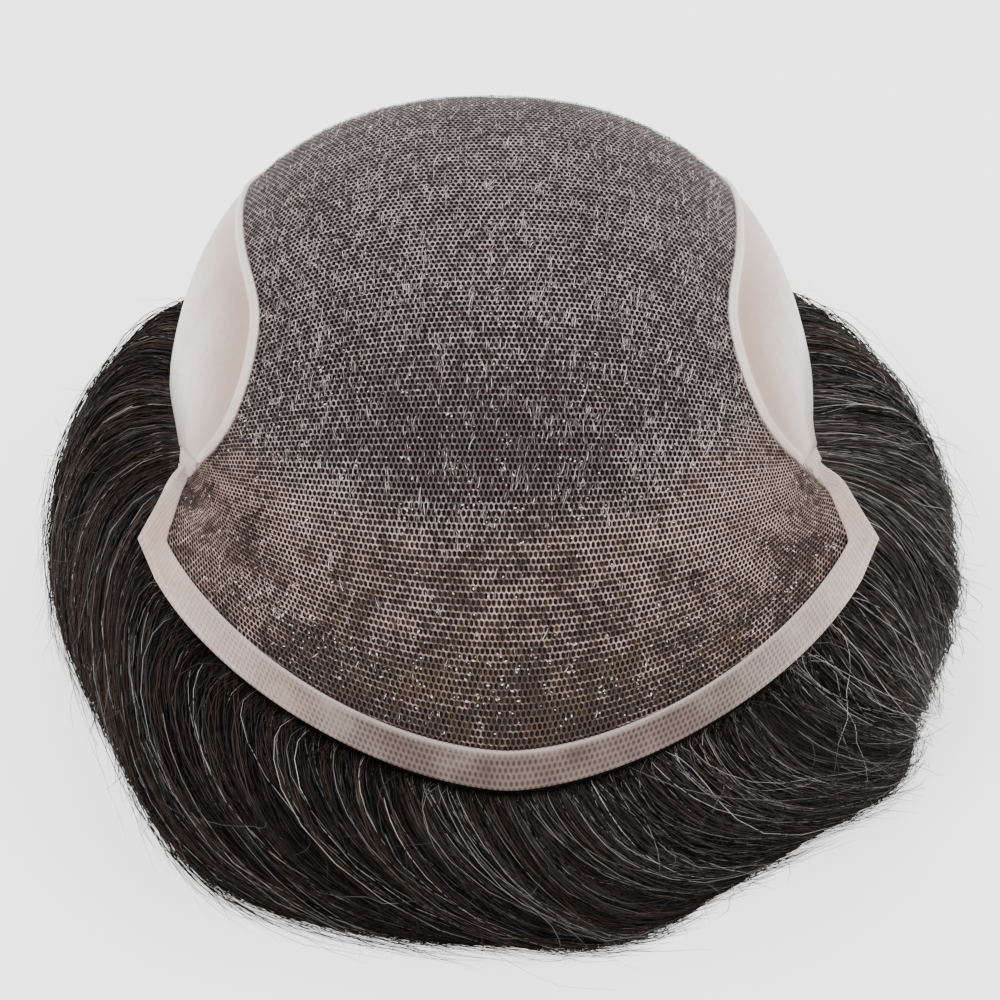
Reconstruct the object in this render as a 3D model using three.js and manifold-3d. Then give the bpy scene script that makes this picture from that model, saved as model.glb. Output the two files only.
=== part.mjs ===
// A toupee hairpiece, turned inside out so that it stands on its own hair with the scalp side up:
// a lace cap, a folded front band, two thin-skin side panels and a skirt of hair in locks.
// Millimetres, Z up, front hairline towards -Y, origin on the surface under the middle of the piece.
import * as THREE from "three";
import { mergeVertices } from "three/addons/utils/BufferGeometryUtils.js";
import Module from "manifold-3d";

const wasm = await Module();
wasm.setup();

// Driving dimensions of the cap
const CAP_RUN = 198; // front edge to back edge, level, along Y
const CROWN_HEIGHT = 96; // scalp side of the crown above the surface
const CAP_WIDTH = 130; // across the cap at the ears
const SIDE_DROP = 50; // from the middle of a section to its side edge
const LACE_WALL = 1;
const BAND_WIDTH = 7.6; // folded lace along the front hairline
const BAND_RISE = 0.6; // of the folded band above the lace
const PANEL_WIDTH = 39.5; // widest stretch of a side panel
const PANEL_RISE = 0.2; // of a side panel above the lace
const RIM_WIDTH = 1.6; // raised rim of a side panel along the lace
const RIM_RISE = 0.5;

const ARCH_SPREAD = 83; // degrees of a section's arch on each side of its middle

// Shares of the cap's length where band and side panel meet
const NOTCH_EDGE = 0.4; // at the side edge
const NOTCH_SEAM = 0.33; // at the lace

// Driving dimensions of the hair
const MAT_WALL = 2.4; // roots knotted under the lace
const SKIRT_INSET = 3.5; // where the skirt's seat starts, in from the cap's edge
const SEAT_WIDTH = 9; // strip of roots that the skirt hangs from
const SEAT_WALL = 4;
const RIM_TUCK = 1.5; // how far inside the cap's edge the hair comes out
const RIM_DROP = 2.6; // and how far below it
const SKIRT_WALL = 9; // depth of the hair under its locks
const HAIR_REACH = 36; // how far the longest hair stands out from its roots
const LOCK_RISE = 3.4; // of a lock above the hair behind it
const LOCK_SINK = 2.2; // of a lock into the hair behind it

// Clearances between pieces that meet
const GAP = 0.35;
const SEAM_GAP = 0.75; // beside the lace
const NOTCH_GAP = 0.9; // along the edge, where the joint runs aslant
const HAIR_GAP = 1.1; // between the cap's facets and the hair under them
const QUARTER_GAP = 0.8; // on each side of a quarter of the skirt
const RIM_GAP = 1.6; // of the hair all round the cap's edge
const MAT_GAP = 2.8; // between the mat and the skirt's seat

// Sections of the cap from front edge to back edge. run is a share of CAP_RUN, height of
// CROWN_HEIGHT, width and aside of CAP_WIDTH and drop of SIDE_DROP. aside moves the section to the
// right. lean is the way in which it falls, in degrees: 0 is backwards and -90 straight down.
// squareness 2 is an ellipse.
const SECTIONS = [
  { run: -0.465, height: 0.344, lean: 36, aside: 0.008, width: 1.09, drop: 1.0, squareness: 1.62 },
  { run: -0.404, height: 0.521, lean: 17, aside: 0.005, width: 1.015, drop: 0.92, squareness: 1.85 },
  { run: -0.333, height: 0.688, lean: -10, aside: 0.0, width: 0.98, drop: 0.85, squareness: 2.1 },
  { run: -0.222, height: 0.865, lean: -44, aside: -0.006, width: 0.985, drop: 0.8, squareness: 2.2 },
  { run: -0.061, height: 0.979, lean: -75, aside: -0.013, width: 1.0, drop: 0.9, squareness: 2.3 },
  { run: 0.126, height: 1.0, lean: -92, aside: -0.02, width: 1.03, drop: 1.0, squareness: 2.35 },
  { run: 0.313, height: 0.927, lean: -105, aside: -0.022, width: 0.99, drop: 1.0, squareness: 2.3 },
  { run: 0.465, height: 0.708, lean: -132, aside: -0.022, width: 0.89, drop: 0.86, squareness: 2.2 },
  { run: 0.535, height: 0.396, lean: -172, aside: -0.022, width: 0.74, drop: 0.66, squareness: 2.1 },
];

// What covers the lace along a side edge, at even steps from front edge to back edge: first the
// band's strip, as a share of BAND_WIDTH, then the side panel, as a share of PANEL_WIDTH.
const SIDE_COVER = [
  { band: 1.0, panel: 0 },
  { band: 0.88, panel: 0 },
  { band: 0.77, panel: 0 },
  { band: 0.65, panel: 0.12 },
  { band: 0, panel: 0.7 },
  { band: 0, panel: 0.97 },
  { band: 0, panel: 1.0 },
  { band: 0, panel: 0.94 },
  { band: 0, panel: 0.88 },
  { band: 0, panel: 0.8 },
  { band: 0, panel: 0.7 },
];

// The skirt of hair from the cap's edge down to the surface. out is a share of the hair's reach
// and up of the height at which it comes out. back and sink place the inner face, as shares of
// SKIRT_WALL.
const SKIRT_SHAPE = [
  { out: 0.0, up: 1.0, back: 0.4, sink: 0.7 },
  { out: 0.33, up: 0.93, back: 0.6, sink: 0.8 },
  { out: 0.65, up: 0.76, back: 0.85, sink: 0.6 },
  { out: 0.88, up: 0.52, back: 1.0, sink: 0.35 },
  { out: 1.0, up: 0.28, back: 1.0, sink: 0.15 },
  { out: 0.97, up: 0.1, back: 1.0, sink: 0.03 },
  { out: 0.85, up: 0.0, back: 0.9, sink: 0.0 },
];

// The hair round the cap at even turns, front first, then right, back and left. reach is a share
// of HAIR_REACH, puff lifts the hair's belly by a share of its roots' height and sweep turns the
// tips, in degrees.
const HAIR_TURNS = [
  { reach: 0.34, puff: 0.0, sweep: 16 },
  { reach: 0.14, puff: 0.02, sweep: 9 },
  { reach: 0.64, puff: 0.08, sweep: 3 },
  { reach: 0.9, puff: 0.16, sweep: -2 },
  { reach: 0.66, puff: 0.26, sweep: -2 },
  { reach: 0.4, puff: 0.1, sweep: 0 },
  { reach: 0.38, puff: 0.05, sweep: 0 },
  { reach: 0.4, puff: 0.1, sweep: 2 },
  { reach: 0.62, puff: 0.22, sweep: 6 },
  { reach: 0.74, puff: 0.16, sweep: 13 },
  { reach: 0.64, puff: 0.08, sweep: 17 },
  { reach: 0.41, puff: 0.0, sweep: 18 },
];

// The four quarters of the skirt, in degrees of turn from the middle of the front.
const QUARTERS = [
  { name: "hair_front", from: -40, to: 40, locks: 7 },
  { name: "hair_right", from: 40, to: 140, locks: 8 },
  { name: "hair_back", from: 140, to: 220, locks: 6 },
  { name: "hair_left", from: 220, to: 320, locks: 8 },
];
const SWEEP_DELAY = 1.6; // powers that keep sweep and puff away from the roots
const PUFF_DELAY = 0.8;
const LOOP_SQUARENESS = 8; // of the line round the cap on which the hair hangs

// Fineness of the facets
const FRONT_STEPS = 16; // across the lace and along the front of the band
const PANEL_STEPS = 12; // from notch to back edge, along the lace too
const MAT_STEPS = { along: 12, across: 12 };
const BAND_STEPS = { strip: 6, corner: 2, width: 3 };
const SKIRT_STEP_TURN = 7; // degrees
const LOCK_STEPS = 6;
const LOCK = {
  from: 0.14, // shares of the way down the skirt
  to: 0.95,
  tip: 0.97, // share of the lock at which it is cut off blunt
  taper: 3,
  start: 0.14, // share of its swell with which it begins
  fullness: 0.7,
  width: 0.97, // share of the room between the locks beside it
};
const LOCK_SECTION = [
  { side: -1, rise: -0.1 },
  { side: -0.55, rise: 0.72 },
  { side: 0.05, rise: 1 },
  { side: 0.6, rise: 0.66 },
  { side: 1, rise: -0.1 },
  { side: 0, rise: -1 },
];
const STRIP_END = 1.25; // where the band's strip starts to turn, as a share of its inner corner
const RIM_SHARE = 0.4; // of a narrow panel's width at most
const RIM_FLANK = 1.4; // foot of the rim's slope, as a share of its top
const ROOM_STEPS = 24; // of the room kept clear for the cap
const SLIVER = 0.35; // by which the hair's top stays out of that room
const MERGE_DISTANCE = 0.0001;
const SMALL_STEP = 0.002; // of a share, where a slope is taken
const WALK_STEPS = 240;

const COLOURS = {
  lace: { color: 0xa89a92, roughness: 0.8 },
  band: { color: 0xdccabf, roughness: 0.6 },
  panel: { color: 0xe6e0db, roughness: 0.35 },
  mat: { color: 0x24201e, roughness: 0.7 },
  hair: { color: 0x1b1817, roughness: 0.5 },
};

// Smooth value of one column of a table through its rows, at a share of the table's length.
function column(rows, name, share) {
  const place = share * (rows.length - 1);
  const index = THREE.MathUtils.clamp(Math.floor(place), 0, rows.length - 2);
  const rest = place - index;
  const start = rows[index][name];
  const end = rows[index + 1][name];
  const before = index > 0 ? rows[index - 1][name] : 2 * start - end;
  const after = index + 2 < rows.length ? rows[index + 2][name] : 2 * end - start;
  return (
    0.5 *
    (2 * start +
      (end - before) * rest +
      (2 * before - 5 * start + 4 * end - after) * rest ** 2 +
      (3 * start - before - 3 * end + after) * rest ** 3)
  );
}

// Value of a column of the closed table HAIR_TURNS at a turn in degrees.
function turnColumn(name, turn) {
  const count = HAIR_TURNS.length;
  const wrapped = [-1, ...HAIR_TURNS.keys(), 0, 1].map((row) => HAIR_TURNS[(row + count) % count]);
  const share = (((turn / 360) % 1) + 1) % 1;
  return column(wrapped, name, (1 + share * count) / (wrapped.length - 1));
}

// Point of the cap's scalp side: along runs from 0 at the front edge to 1 at the back edge,
// across from -1 at the left edge to 1 at the right edge.
function capPoint(along, across) {
  const value = (name) => column(SECTIONS, name, along);
  const spread = THREE.MathUtils.degToRad(ARCH_SPREAD);
  const power = 2 / value("squareness");
  const turn = across * spread;
  const out = Math.sin(Math.abs(turn)) ** power / Math.sin(spread) ** power;
  const fall = (1 - Math.cos(turn) ** power) / (1 - Math.cos(spread) ** power);
  const lean = THREE.MathUtils.degToRad(value("lean"));
  const drop = value("drop") * SIDE_DROP * fall;
  return new THREE.Vector3(
    ((Math.sign(across) * out * value("width")) / 2 + value("aside")) * CAP_WIDTH,
    value("run") * CAP_RUN + Math.cos(lean) * drop,
    value("height") * CROWN_HEIGHT + Math.sin(lean) * drop,
  );
}

// The cap's point moved square off its scalp side, inwards where lift is negative.
function liftedPoint(along, across, lift) {
  const s = THREE.MathUtils.clamp(along, SMALL_STEP, 1 - SMALL_STEP);
  const w = THREE.MathUtils.clamp(across, SMALL_STEP - 1, 1 - SMALL_STEP);
  const slopeAlong = capPoint(s + SMALL_STEP, w).sub(capPoint(s - SMALL_STEP, w));
  const slopeAcross = capPoint(s, w + SMALL_STEP).sub(capPoint(s, w - SMALL_STEP));
  const normal = slopeAcross.cross(slopeAlong).normalize();
  return capPoint(along, across).addScaledVector(normal, lift);
}

// Share at which a walk over the cap has covered a distance; place turns a share into a point.
function walk(place, start, end, distance) {
  let covered = 0;
  let last = place(start);
  for (let step = 1; step <= WALK_STEPS; step += 1) {
    const share = THREE.MathUtils.lerp(start, end, step / WALK_STEPS);
    const next = place(share);
    const length = next.distanceTo(last);
    if (covered + length >= distance) {
      return share - ((covered + length - distance) / length) * ((end - start) / WALK_STEPS);
    }
    covered += length;
    last = next;
  }
  return end;
}

// along, at a distance behind the share from, on the line across.
function alongAt(across, distance, from = 0) {
  return walk((along) => capPoint(along, across), from, 1, distance);
}

// across, at a distance in from the right side edge, on the section along.
function acrossAt(along, distance) {
  return walk((across) => capPoint(along, across), 1, 0, distance);
}

// Width of what covers the lace along the side edge.
function coverWidth(along) {
  return (
    column(SIDE_COVER, "band", along) * BAND_WIDTH + column(SIDE_COVER, "panel", along) * PANEL_WIDTH
  );
}

// Spot of the cap where what covers the lace ends, wider by a clearance.
function seamSpot(along, clearance = 0) {
  return { along, across: acrossAt(along, coverWidth(along) + clearance) };
}

// Inner corner of the front band at the temple, as { along, across }, moved in by a distance.
function bandCorner(distance) {
  const reach = BAND_WIDTH + distance;
  const across = acrossAt(alongAt(1, reach), reach);
  return { along: alongAt(across, reach), across };
}

// Geometry of a list of points and of the faces between them.
function geometryFrom(points, faces) {
  const geometry = new THREE.BufferGeometry();
  const positions = points.flatMap((point) => point.toArray());
  geometry.setAttribute("position", new THREE.Float32BufferAttribute(positions, 3));
  geometry.setIndex(faces);
  return geometry;
}

// Closed geometry between two grids of points of the same size, the high one facing out.
function shellGeometry(high, low) {
  const lastRow = high.length - 1;
  const lastCol = high[0].length - 1;
  const at = (row, col, deep = 0) => (deep * (lastRow + 1) + row) * (lastCol + 1) + col;
  const faces = [];
  const quad = (a, b, c, d) => faces.push(a, b, c, a, c, d);
  for (let row = 0; row < lastRow; row += 1) {
    for (let col = 0; col < lastCol; col += 1) {
      quad(at(row, col), at(row, col + 1), at(row + 1, col + 1), at(row + 1, col));
      quad(at(row, col, 1), at(row + 1, col, 1), at(row + 1, col + 1, 1), at(row, col + 1, 1));
    }
    quad(at(row, 0), at(row + 1, 0), at(row + 1, 0, 1), at(row, 0, 1));
    quad(at(row, lastCol), at(row, lastCol, 1), at(row + 1, lastCol, 1), at(row + 1, lastCol));
  }
  for (let col = 0; col < lastCol; col += 1) {
    quad(at(0, col), at(0, col, 1), at(0, col + 1, 1), at(0, col + 1));
    quad(at(lastRow, col), at(lastRow, col + 1), at(lastRow, col + 1, 1), at(lastRow, col, 1));
  }
  return geometryFrom([...high, ...low].flat(), faces);
}

// A wall that follows the cap: stations gives rows of { along, across, high, low }.
function wallGeometry(stations) {
  const face = (side) =>
    stations.map((row) => row.map((spot) => liftedPoint(spot.along, spot.across, spot[side])));
  return shellGeometry(face("high"), face("low"));
}

// Even shares from 0 to 1.
function shares(steps) {
  return Array.from({ length: steps + 1 }, (_, step) => step / steps);
}

// along of the band's strip at its inner edge, from the notch to where it turns at the temple.
function stripStations() {
  const end = bandCorner(0).along * STRIP_END;
  return shares(BAND_STEPS.strip).map((share) => THREE.MathUtils.lerp(NOTCH_SEAM, end, share));
}

// along of a side panel at the lace, from behind the notch to the back edge.
function panelStations() {
  const start = alongAt(seamSpot(NOTCH_SEAM).across, NOTCH_GAP, NOTCH_SEAM);
  const rest = shares(PANEL_STEPS).slice(1);
  return [start, ...rest.map((share) => THREE.MathUtils.lerp(NOTCH_SEAM, 1, share))];
}

// The lace from the band's inner edge to the back edge, between the side panels.
function laceGeometry() {
  const corner = bandCorner(SEAM_GAP);
  const front = shares(FRONT_STEPS).map((share) => {
    const side = 2 * share - 1;
    return { side, lead: alongAt(Math.abs(side) * corner.across, BAND_WIDTH + SEAM_GAP) - corner.along };
  });
  return wallGeometry(
    [corner.along, ...stripStations().reverse(), ...panelStations()].map((row, index) => {
      const width = index === 0 ? corner.across : seamSpot(row, SEAM_GAP).across;
      const rest = (1 - row) / (1 - corner.along);
      return front.map(({ side, lead }) => ({
        along: row + lead * rest,
        across: side * width,
        high: 0,
        low: -LACE_WALL,
      }));
    }),
  );
}

// Spot between two spots of the cap.
function between(start, end, share) {
  return {
    along: THREE.MathUtils.lerp(start.along, end.along, share),
    across: THREE.MathUtils.lerp(start.across, end.across, share),
  };
}

// Pairs of outer and inner edge spots of the front band, from the right notch round to the left.
function bandEdges() {
  const corner = bandCorner(0);
  const stations = stripStations();
  const strip = stations.map((along, index) => [
    { along: THREE.MathUtils.lerp(NOTCH_EDGE, stations.at(-1), index / BAND_STEPS.strip), across: 1 },
    seamSpot(along),
  ]);
  const [stripOuter, stripInner] = strip.at(-1);
  const turn = shares(BAND_STEPS.corner).slice(1).map((share) => [
    { along: stripOuter.along * (1 - share), across: 1 },
    between(stripInner, corner, share),
  ]);
  const front = shares(FRONT_STEPS).slice(1, -1).map((share) => {
    const across = corner.across * (1 - 2 * share);
    return [{ along: 0, across }, { along: alongAt(Math.abs(across), BAND_WIDTH), across }];
  });
  const right = [...strip, ...turn];
  const mirrored = (spot) => ({ along: spot.along, across: -spot.across });
  const left = right.map((pair) => pair.map(mirrored)).reverse();
  return [...right, ...front, ...left];
}

// The folded band: pointed at both temples, with a strip that narrows up to each side panel.
function bandGeometry() {
  return wallGeometry(
    bandEdges().map(([outer, inner]) =>
      shares(BAND_STEPS.width).map((share) => ({
        ...between(outer, inner, share),
        high: BAND_RISE,
        low: -LACE_WALL,
      })),
    ),
  );
}

// A thin-skin side panel with a raised rim along the lace. side is 1 on the right, -1 on the left.
function panelGeometry(side) {
  const startEdge = alongAt(1, NOTCH_GAP, NOTCH_EDGE);
  const rows = panelStations().map((along, index) => {
    const edge = { along: THREE.MathUtils.lerp(startEdge, 1, index / PANEL_STEPS), across: 1 };
    const seam = seamSpot(along);
    const width = coverWidth(seam.along);
    const rim = Math.min(RIM_WIDTH / width, RIM_SHARE);
    const columns = [
      { share: 0, rise: RIM_RISE },
      { share: rim, rise: RIM_RISE },
      { share: rim * RIM_FLANK, rise: 0 },
      { share: THREE.MathUtils.lerp(rim * RIM_FLANK, 1, 1 / 3), rise: 0 },
      { share: THREE.MathUtils.lerp(rim * RIM_FLANK, 1, 2 / 3), rise: 0 },
      { share: 1, rise: 0 },
    ];
    return columns.map((col) => {
      const spot = between(seam, edge, col.share);
      return { ...spot, across: side * spot.across, high: PANEL_RISE + col.rise, low: -LACE_WALL };
    });
  });
  return wallGeometry(side > 0 ? rows : rows.map((row) => row.reverse()));
}

// Spot of the cap on the rounded line round it at a turn in degrees, in from the edge. size
// shrinks the line towards the crown.
function loopSpot(turn, inset, size = 1) {
  const angle = THREE.MathUtils.degToRad(turn);
  const front = Math.cos(angle);
  const right = Math.sin(angle);
  const power = LOOP_SQUARENESS;
  const radius = size * (Math.abs(front) ** power + Math.abs(right) ** power) ** (-1 / power);
  const alongInset = alongAt(0, inset);
  const half = acrossAt(0.5, inset);
  return { along: 0.5 - (0.5 - alongInset) * radius * front, across: half * radius * right };
}

const hairTop = -LACE_WALL - HAIR_GAP;

// The mat of hair roots that lies under the cap, inside the skirt's seat: a square grid whose
// rings are rounded to the line on which the skirt hangs.
function matGeometry() {
  return wallGeometry(
    shares(MAT_STEPS.along).map((v) =>
      shares(MAT_STEPS.across).map((u) => {
        const right = 2 * u - 1;
        const back = 2 * v - 1;
        const turn = THREE.MathUtils.radToDeg(Math.atan2(right, -back));
        const size = Math.max(Math.abs(right), Math.abs(back));
        const spot = loopSpot(turn, SKIRT_INSET + SEAT_WIDTH + MAT_GAP, size);
        return { ...spot, high: hairTop, low: hairTop - MAT_WALL };
      }),
    ),
  );
}

// Point of the cap's inner edge over the hair at a turn.
function rimPoint(turn) {
  const spot = loopSpot(turn, 0);
  return liftedPoint(spot.along, spot.across, -LACE_WALL);
}

// Point of the skirt at a turn of its roots: share runs from the cap to the surface, depth from
// 0 on the outer face to 1 on the inner face, and lift moves it off the outer face.
function skirtPoint(turn, share, depth = 0, lift = 0) {
  const rim = rimPoint(turn);
  const reach = turnColumn("reach", turn) * HAIR_REACH;
  const puff = turnColumn("puff", turn);
  const bearing = Math.atan2(rim.x, -rim.y);
  const swept = bearing + THREE.MathUtils.degToRad(turnColumn("sweep", turn)) * share ** SWEEP_DELAY;
  const distance = Math.hypot(rim.x, rim.y) - RIM_TUCK;
  const height = rim.z - RIM_DROP;
  const place = (spot) => {
    const value = (name) => column(SKIRT_SHAPE, name, spot);
    const raised = value("up") + puff * Math.sin(Math.PI * spot ** PUFF_DELAY) * spot;
    return new THREE.Vector2(
      distance + value("out") * reach - value("back") * SKIRT_WALL * depth,
      raised * height - value("sink") * SKIRT_WALL * depth,
    );
  };
  const slope = place(Math.min(share + SMALL_STEP, 1)).sub(place(Math.max(share - SMALL_STEP, 0)));
  const spot = place(share).addScaledVector(new THREE.Vector2(-slope.y, slope.x).normalize(), lift);
  return new THREE.Vector3(Math.sin(swept) * spot.x, -Math.cos(swept) * spot.x, spot.y);
}

// The smooth backing of a quarter of the skirt: a seat under the cap, then the face down to the foot.
function backingGeometry(from, to) {
  const steps = Math.ceil((to - from) / SKIRT_STEP_TURN);
  const turns = shares(steps).map((share) => THREE.MathUtils.lerp(to, from, share));
  const seat = (turn, inset, lift) => {
    const spot = loopSpot(turn, inset);
    return liftedPoint(spot.along, spot.across, lift);
  };
  const rows = (inner) => {
    const lift = hairTop - (inner ? SEAT_WALL : 0);
    const start = [SKIRT_INSET + SEAT_WIDTH, SKIRT_INSET].map((inset) =>
      turns.map((turn) => seat(turn, inset, lift)),
    );
    const face = shares(SKIRT_SHAPE.length - 1);
    return [...start, ...face.map((share) => turns.map((turn) => skirtPoint(turn, share, inner)))];
  };
  return shellGeometry(rows(0), rows(1));
}

// One lock: a strip that swells out of the skirt and narrows to its tip near the surface.
function lockGeometry(turn, halfTurn) {
  const rings = shares(LOCK_STEPS).map((step) => {
    const share = step * LOCK.tip;
    const along = THREE.MathUtils.lerp(LOCK.from, LOCK.to, share);
    const half = halfTurn * Math.sqrt(1 - share ** LOCK.taper);
    const swell = Math.sin(Math.PI * Math.min(1, LOCK.start + share)) ** LOCK.fullness;
    return LOCK_SECTION.map((spot) => {
      const rise = spot.rise * (spot.rise > 0 ? LOCK_RISE * swell : LOCK_SINK);
      const point = skirtPoint(turn + spot.side * half, along, 0, rise);
      point.z = Math.max(point.z, GAP);
      return point;
    });
  });
  const sides = LOCK_SECTION.length;
  const faces = [];
  for (let row = 0; row < LOCK_STEPS; row += 1) {
    for (let side = 0; side < sides; side += 1) {
      const next = (side + 1) % sides;
      const [a, b, c, d] = [side, next, sides + next, sides + side].map((spot) => row * sides + spot);
      faces.push(a, c, b, a, d, c);
    }
  }
  const last = LOCK_STEPS * sides;
  for (let side = 1; side + 1 < sides; side += 1) {
    faces.push(0, side, side + 1, last, last + side + 1, last + side);
  }
  return geometryFrom(rings.flat(), faces);
}

// A closed solid of a geometry, with its shared corners merged.
function solidOf(geometry) {
  const merged = mergeVertices(geometry, MERGE_DISTANCE);
  const mesh = new wasm.Mesh({
    numProp: 3,
    vertProperties: new Float32Array(merged.attributes.position.array),
    triVerts: new Uint32Array(merged.index.array),
  });
  return new wasm.Manifold(mesh);
}

// Geometry of a closed solid.
function geometryOf(solid) {
  const mesh = solid.getMesh();
  const geometry = new THREE.BufferGeometry();
  geometry.setAttribute("position", new THREE.BufferAttribute(mesh.vertProperties, 3));
  geometry.setIndex(new THREE.BufferAttribute(mesh.triVerts, 1));
  return geometry;
}

// The room that the cap takes up, with a clearance all round it.
function capRoom() {
  const low = hairTop + SLIVER;
  const high = BAND_RISE + RIM_GAP;
  const margin = { along: alongAt(0, RIM_GAP), across: 1 - acrossAt(0.5, RIM_GAP) };
  return solidOf(
    wallGeometry(
      shares(ROOM_STEPS).map((v) =>
        shares(ROOM_STEPS).map((u) => ({
          along: THREE.MathUtils.lerp(-margin.along, 1 + margin.along, v),
          across: (2 * u - 1) * (1 + margin.across),
          high,
          low,
        })),
      ),
    ),
  );
}

// A quarter of the skirt: its backing with the locks fused on, clear of the cap and of the next
// quarter.
function quarterGeometry({ from, to, locks }) {
  const margin = THREE.MathUtils.radToDeg((QUARTER_GAP * 2) / CAP_WIDTH);
  const start = from + margin;
  const end = to - margin;
  const halfTurn = (end - start) / (2 * locks);
  let solid = solidOf(backingGeometry(start, end));
  for (let lock = 0; lock < locks; lock += 1) {
    const turn = start + (2 * lock + 1) * halfTurn;
    solid = solid.add(solidOf(lockGeometry(turn, halfTurn * LOCK.width)));
  }
  return geometryOf(solid.subtract(room));
}

const room = capRoom();
const group = new THREE.Group();

function addPiece(name, geometry, colour) {
  geometry.computeVertexNormals();
  const mesh = new THREE.Mesh(geometry, new THREE.MeshStandardMaterial({ ...colour, metalness: 0 }));
  mesh.name = name;
  group.add(mesh);
}

addPiece("lace_cap", laceGeometry(), COLOURS.lace);
addPiece("front_band", bandGeometry(), COLOURS.band);
addPiece("pu_panel_right", panelGeometry(1), COLOURS.panel);
addPiece("pu_panel_left", panelGeometry(-1), COLOURS.panel);
addPiece("hair_mat", matGeometry(), COLOURS.mat);
for (const quarter of QUARTERS) {
  addPiece(quarter.name, quarterGeometry(quarter), COLOURS.hair);
}

// The surface is at zero and the middle of the piece over the origin.
const box = new THREE.Box3().setFromObject(group);
const middle = box.getCenter(new THREE.Vector3());
group.position.set(-middle.x, -middle.y, -box.min.z);

export default group;
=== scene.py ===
"""Looks of a toupee hairpiece that stands inside out on its own hair, in metres.

The shapes are worked out in millimetres from the same sections as the solids and
written to the meshes in metres. The cap is a surface of two shares: along runs from
the front edge to the back edge and across from the left side edge to the right.
"""

from __future__ import annotations

import logging
import math
from collections.abc import Callable
from dataclasses import dataclass, field
from enum import Enum

import bpy
import numpy as np
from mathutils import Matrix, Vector


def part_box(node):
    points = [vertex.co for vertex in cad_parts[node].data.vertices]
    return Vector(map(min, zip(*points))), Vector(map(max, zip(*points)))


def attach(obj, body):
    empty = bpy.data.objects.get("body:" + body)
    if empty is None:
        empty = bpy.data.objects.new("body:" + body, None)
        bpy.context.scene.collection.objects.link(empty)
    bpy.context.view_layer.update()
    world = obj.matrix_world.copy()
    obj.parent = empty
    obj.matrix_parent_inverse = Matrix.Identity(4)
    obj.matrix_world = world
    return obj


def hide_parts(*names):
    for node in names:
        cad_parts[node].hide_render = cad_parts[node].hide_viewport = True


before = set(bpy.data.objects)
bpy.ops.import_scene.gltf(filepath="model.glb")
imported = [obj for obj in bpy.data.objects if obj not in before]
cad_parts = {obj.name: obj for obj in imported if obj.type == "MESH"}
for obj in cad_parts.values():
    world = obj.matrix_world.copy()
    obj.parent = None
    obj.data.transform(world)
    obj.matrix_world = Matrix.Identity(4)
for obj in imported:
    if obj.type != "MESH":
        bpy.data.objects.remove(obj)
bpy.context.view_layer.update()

LOG = logging.getLogger("toupee")
MM = 0.001

# Sections of the cap: run, height, lean in degrees, aside, width, drop, squareness
SECTIONS = np.array(
    [
        (-0.465, 0.344, 36, 0.008, 1.09, 1.0, 1.62),
        (-0.404, 0.521, 17, 0.005, 1.015, 0.92, 1.85),
        (-0.333, 0.688, -10, 0.0, 0.98, 0.85, 2.1),
        (-0.222, 0.865, -44, -0.006, 0.985, 0.8, 2.2),
        (-0.061, 0.979, -75, -0.013, 1.0, 0.9, 2.3),
        (0.126, 1.0, -92, -0.02, 1.03, 1.0, 2.35),
        (0.313, 0.927, -105, -0.022, 0.99, 1.0, 2.3),
        (0.465, 0.708, -132, -0.022, 0.89, 0.86, 2.2),
        (0.535, 0.396, -172, -0.022, 0.74, 0.66, 2.1),
    ]
)

# What covers the lace along a side edge, from front to back: share of the band, of the panel
SIDE_COVER = np.array(
    [(1.0, 0.0), (0.88, 0.0), (0.77, 0.0), (0.65, 0.12), (0.0, 0.7), (0.0, 0.97)]
    + [(0.0, 1.0), (0.0, 0.94), (0.0, 0.88), (0.0, 0.8), (0.0, 0.7)]
)

# The skirt of hair from the cap's edge to the surface: out, up, back, sink
SKIRT_SHAPE = np.array(
    [
        (0.0, 1.0, 0.4, 0.7),
        (0.33, 0.93, 0.6, 0.8),
        (0.65, 0.76, 0.85, 0.6),
        (0.88, 0.52, 1.0, 0.35),
        (1.0, 0.28, 1.0, 0.15),
        (0.97, 0.1, 1.0, 0.03),
        (0.85, 0.0, 0.9, 0.0),
    ]
)

# The hair round the cap every 30 degrees from the front: reach, puff, sweep in degrees
HAIR_TURNS = np.array(
    [
        (0.34, 0.0, 16),
        (0.14, 0.02, 9),
        (0.64, 0.08, 3),
        (0.9, 0.16, -2),
        (0.66, 0.26, -2),
        (0.4, 0.1, 0),
        (0.38, 0.05, 0),
        (0.4, 0.1, 2),
        (0.62, 0.22, 6),
        (0.74, 0.16, 13),
        (0.64, 0.08, 17),
        (0.41, 0.0, 18),
    ]
)

# Lighter and darker stretches of the net: along, across, reach along, reach across, amount
NET_TONES = np.array(
    [
        (0.06, 0.0, 0.055, 0.42, -0.62),
        (0.05, -0.5, 0.045, 0.25, -0.24),
        (0.05, 0.5, 0.045, 0.25, -0.16),
        (0.125, 0.0, 0.022, 0.5, -0.34),
        (0.19, 0.0, 0.04, 0.4, -0.06),
        (0.3, -0.45, 0.05, 0.17, 0.44),
        (0.31, 0.52, 0.08, 0.27, 0.6),
        (0.2, 0.6, 0.06, 0.22, 0.12),
        (0.34, 0.0, 0.05, 0.32, -0.56),
        (0.5, -0.5, 0.1, 0.2, -0.1),
        (0.4, 0.0, 0.06, 0.45, -0.34),
        (0.66, 0.0, 0.09, 0.5, 0.12),
        (0.93, 0.0, 0.13, 2.0, -0.4),
    ]
)

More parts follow.
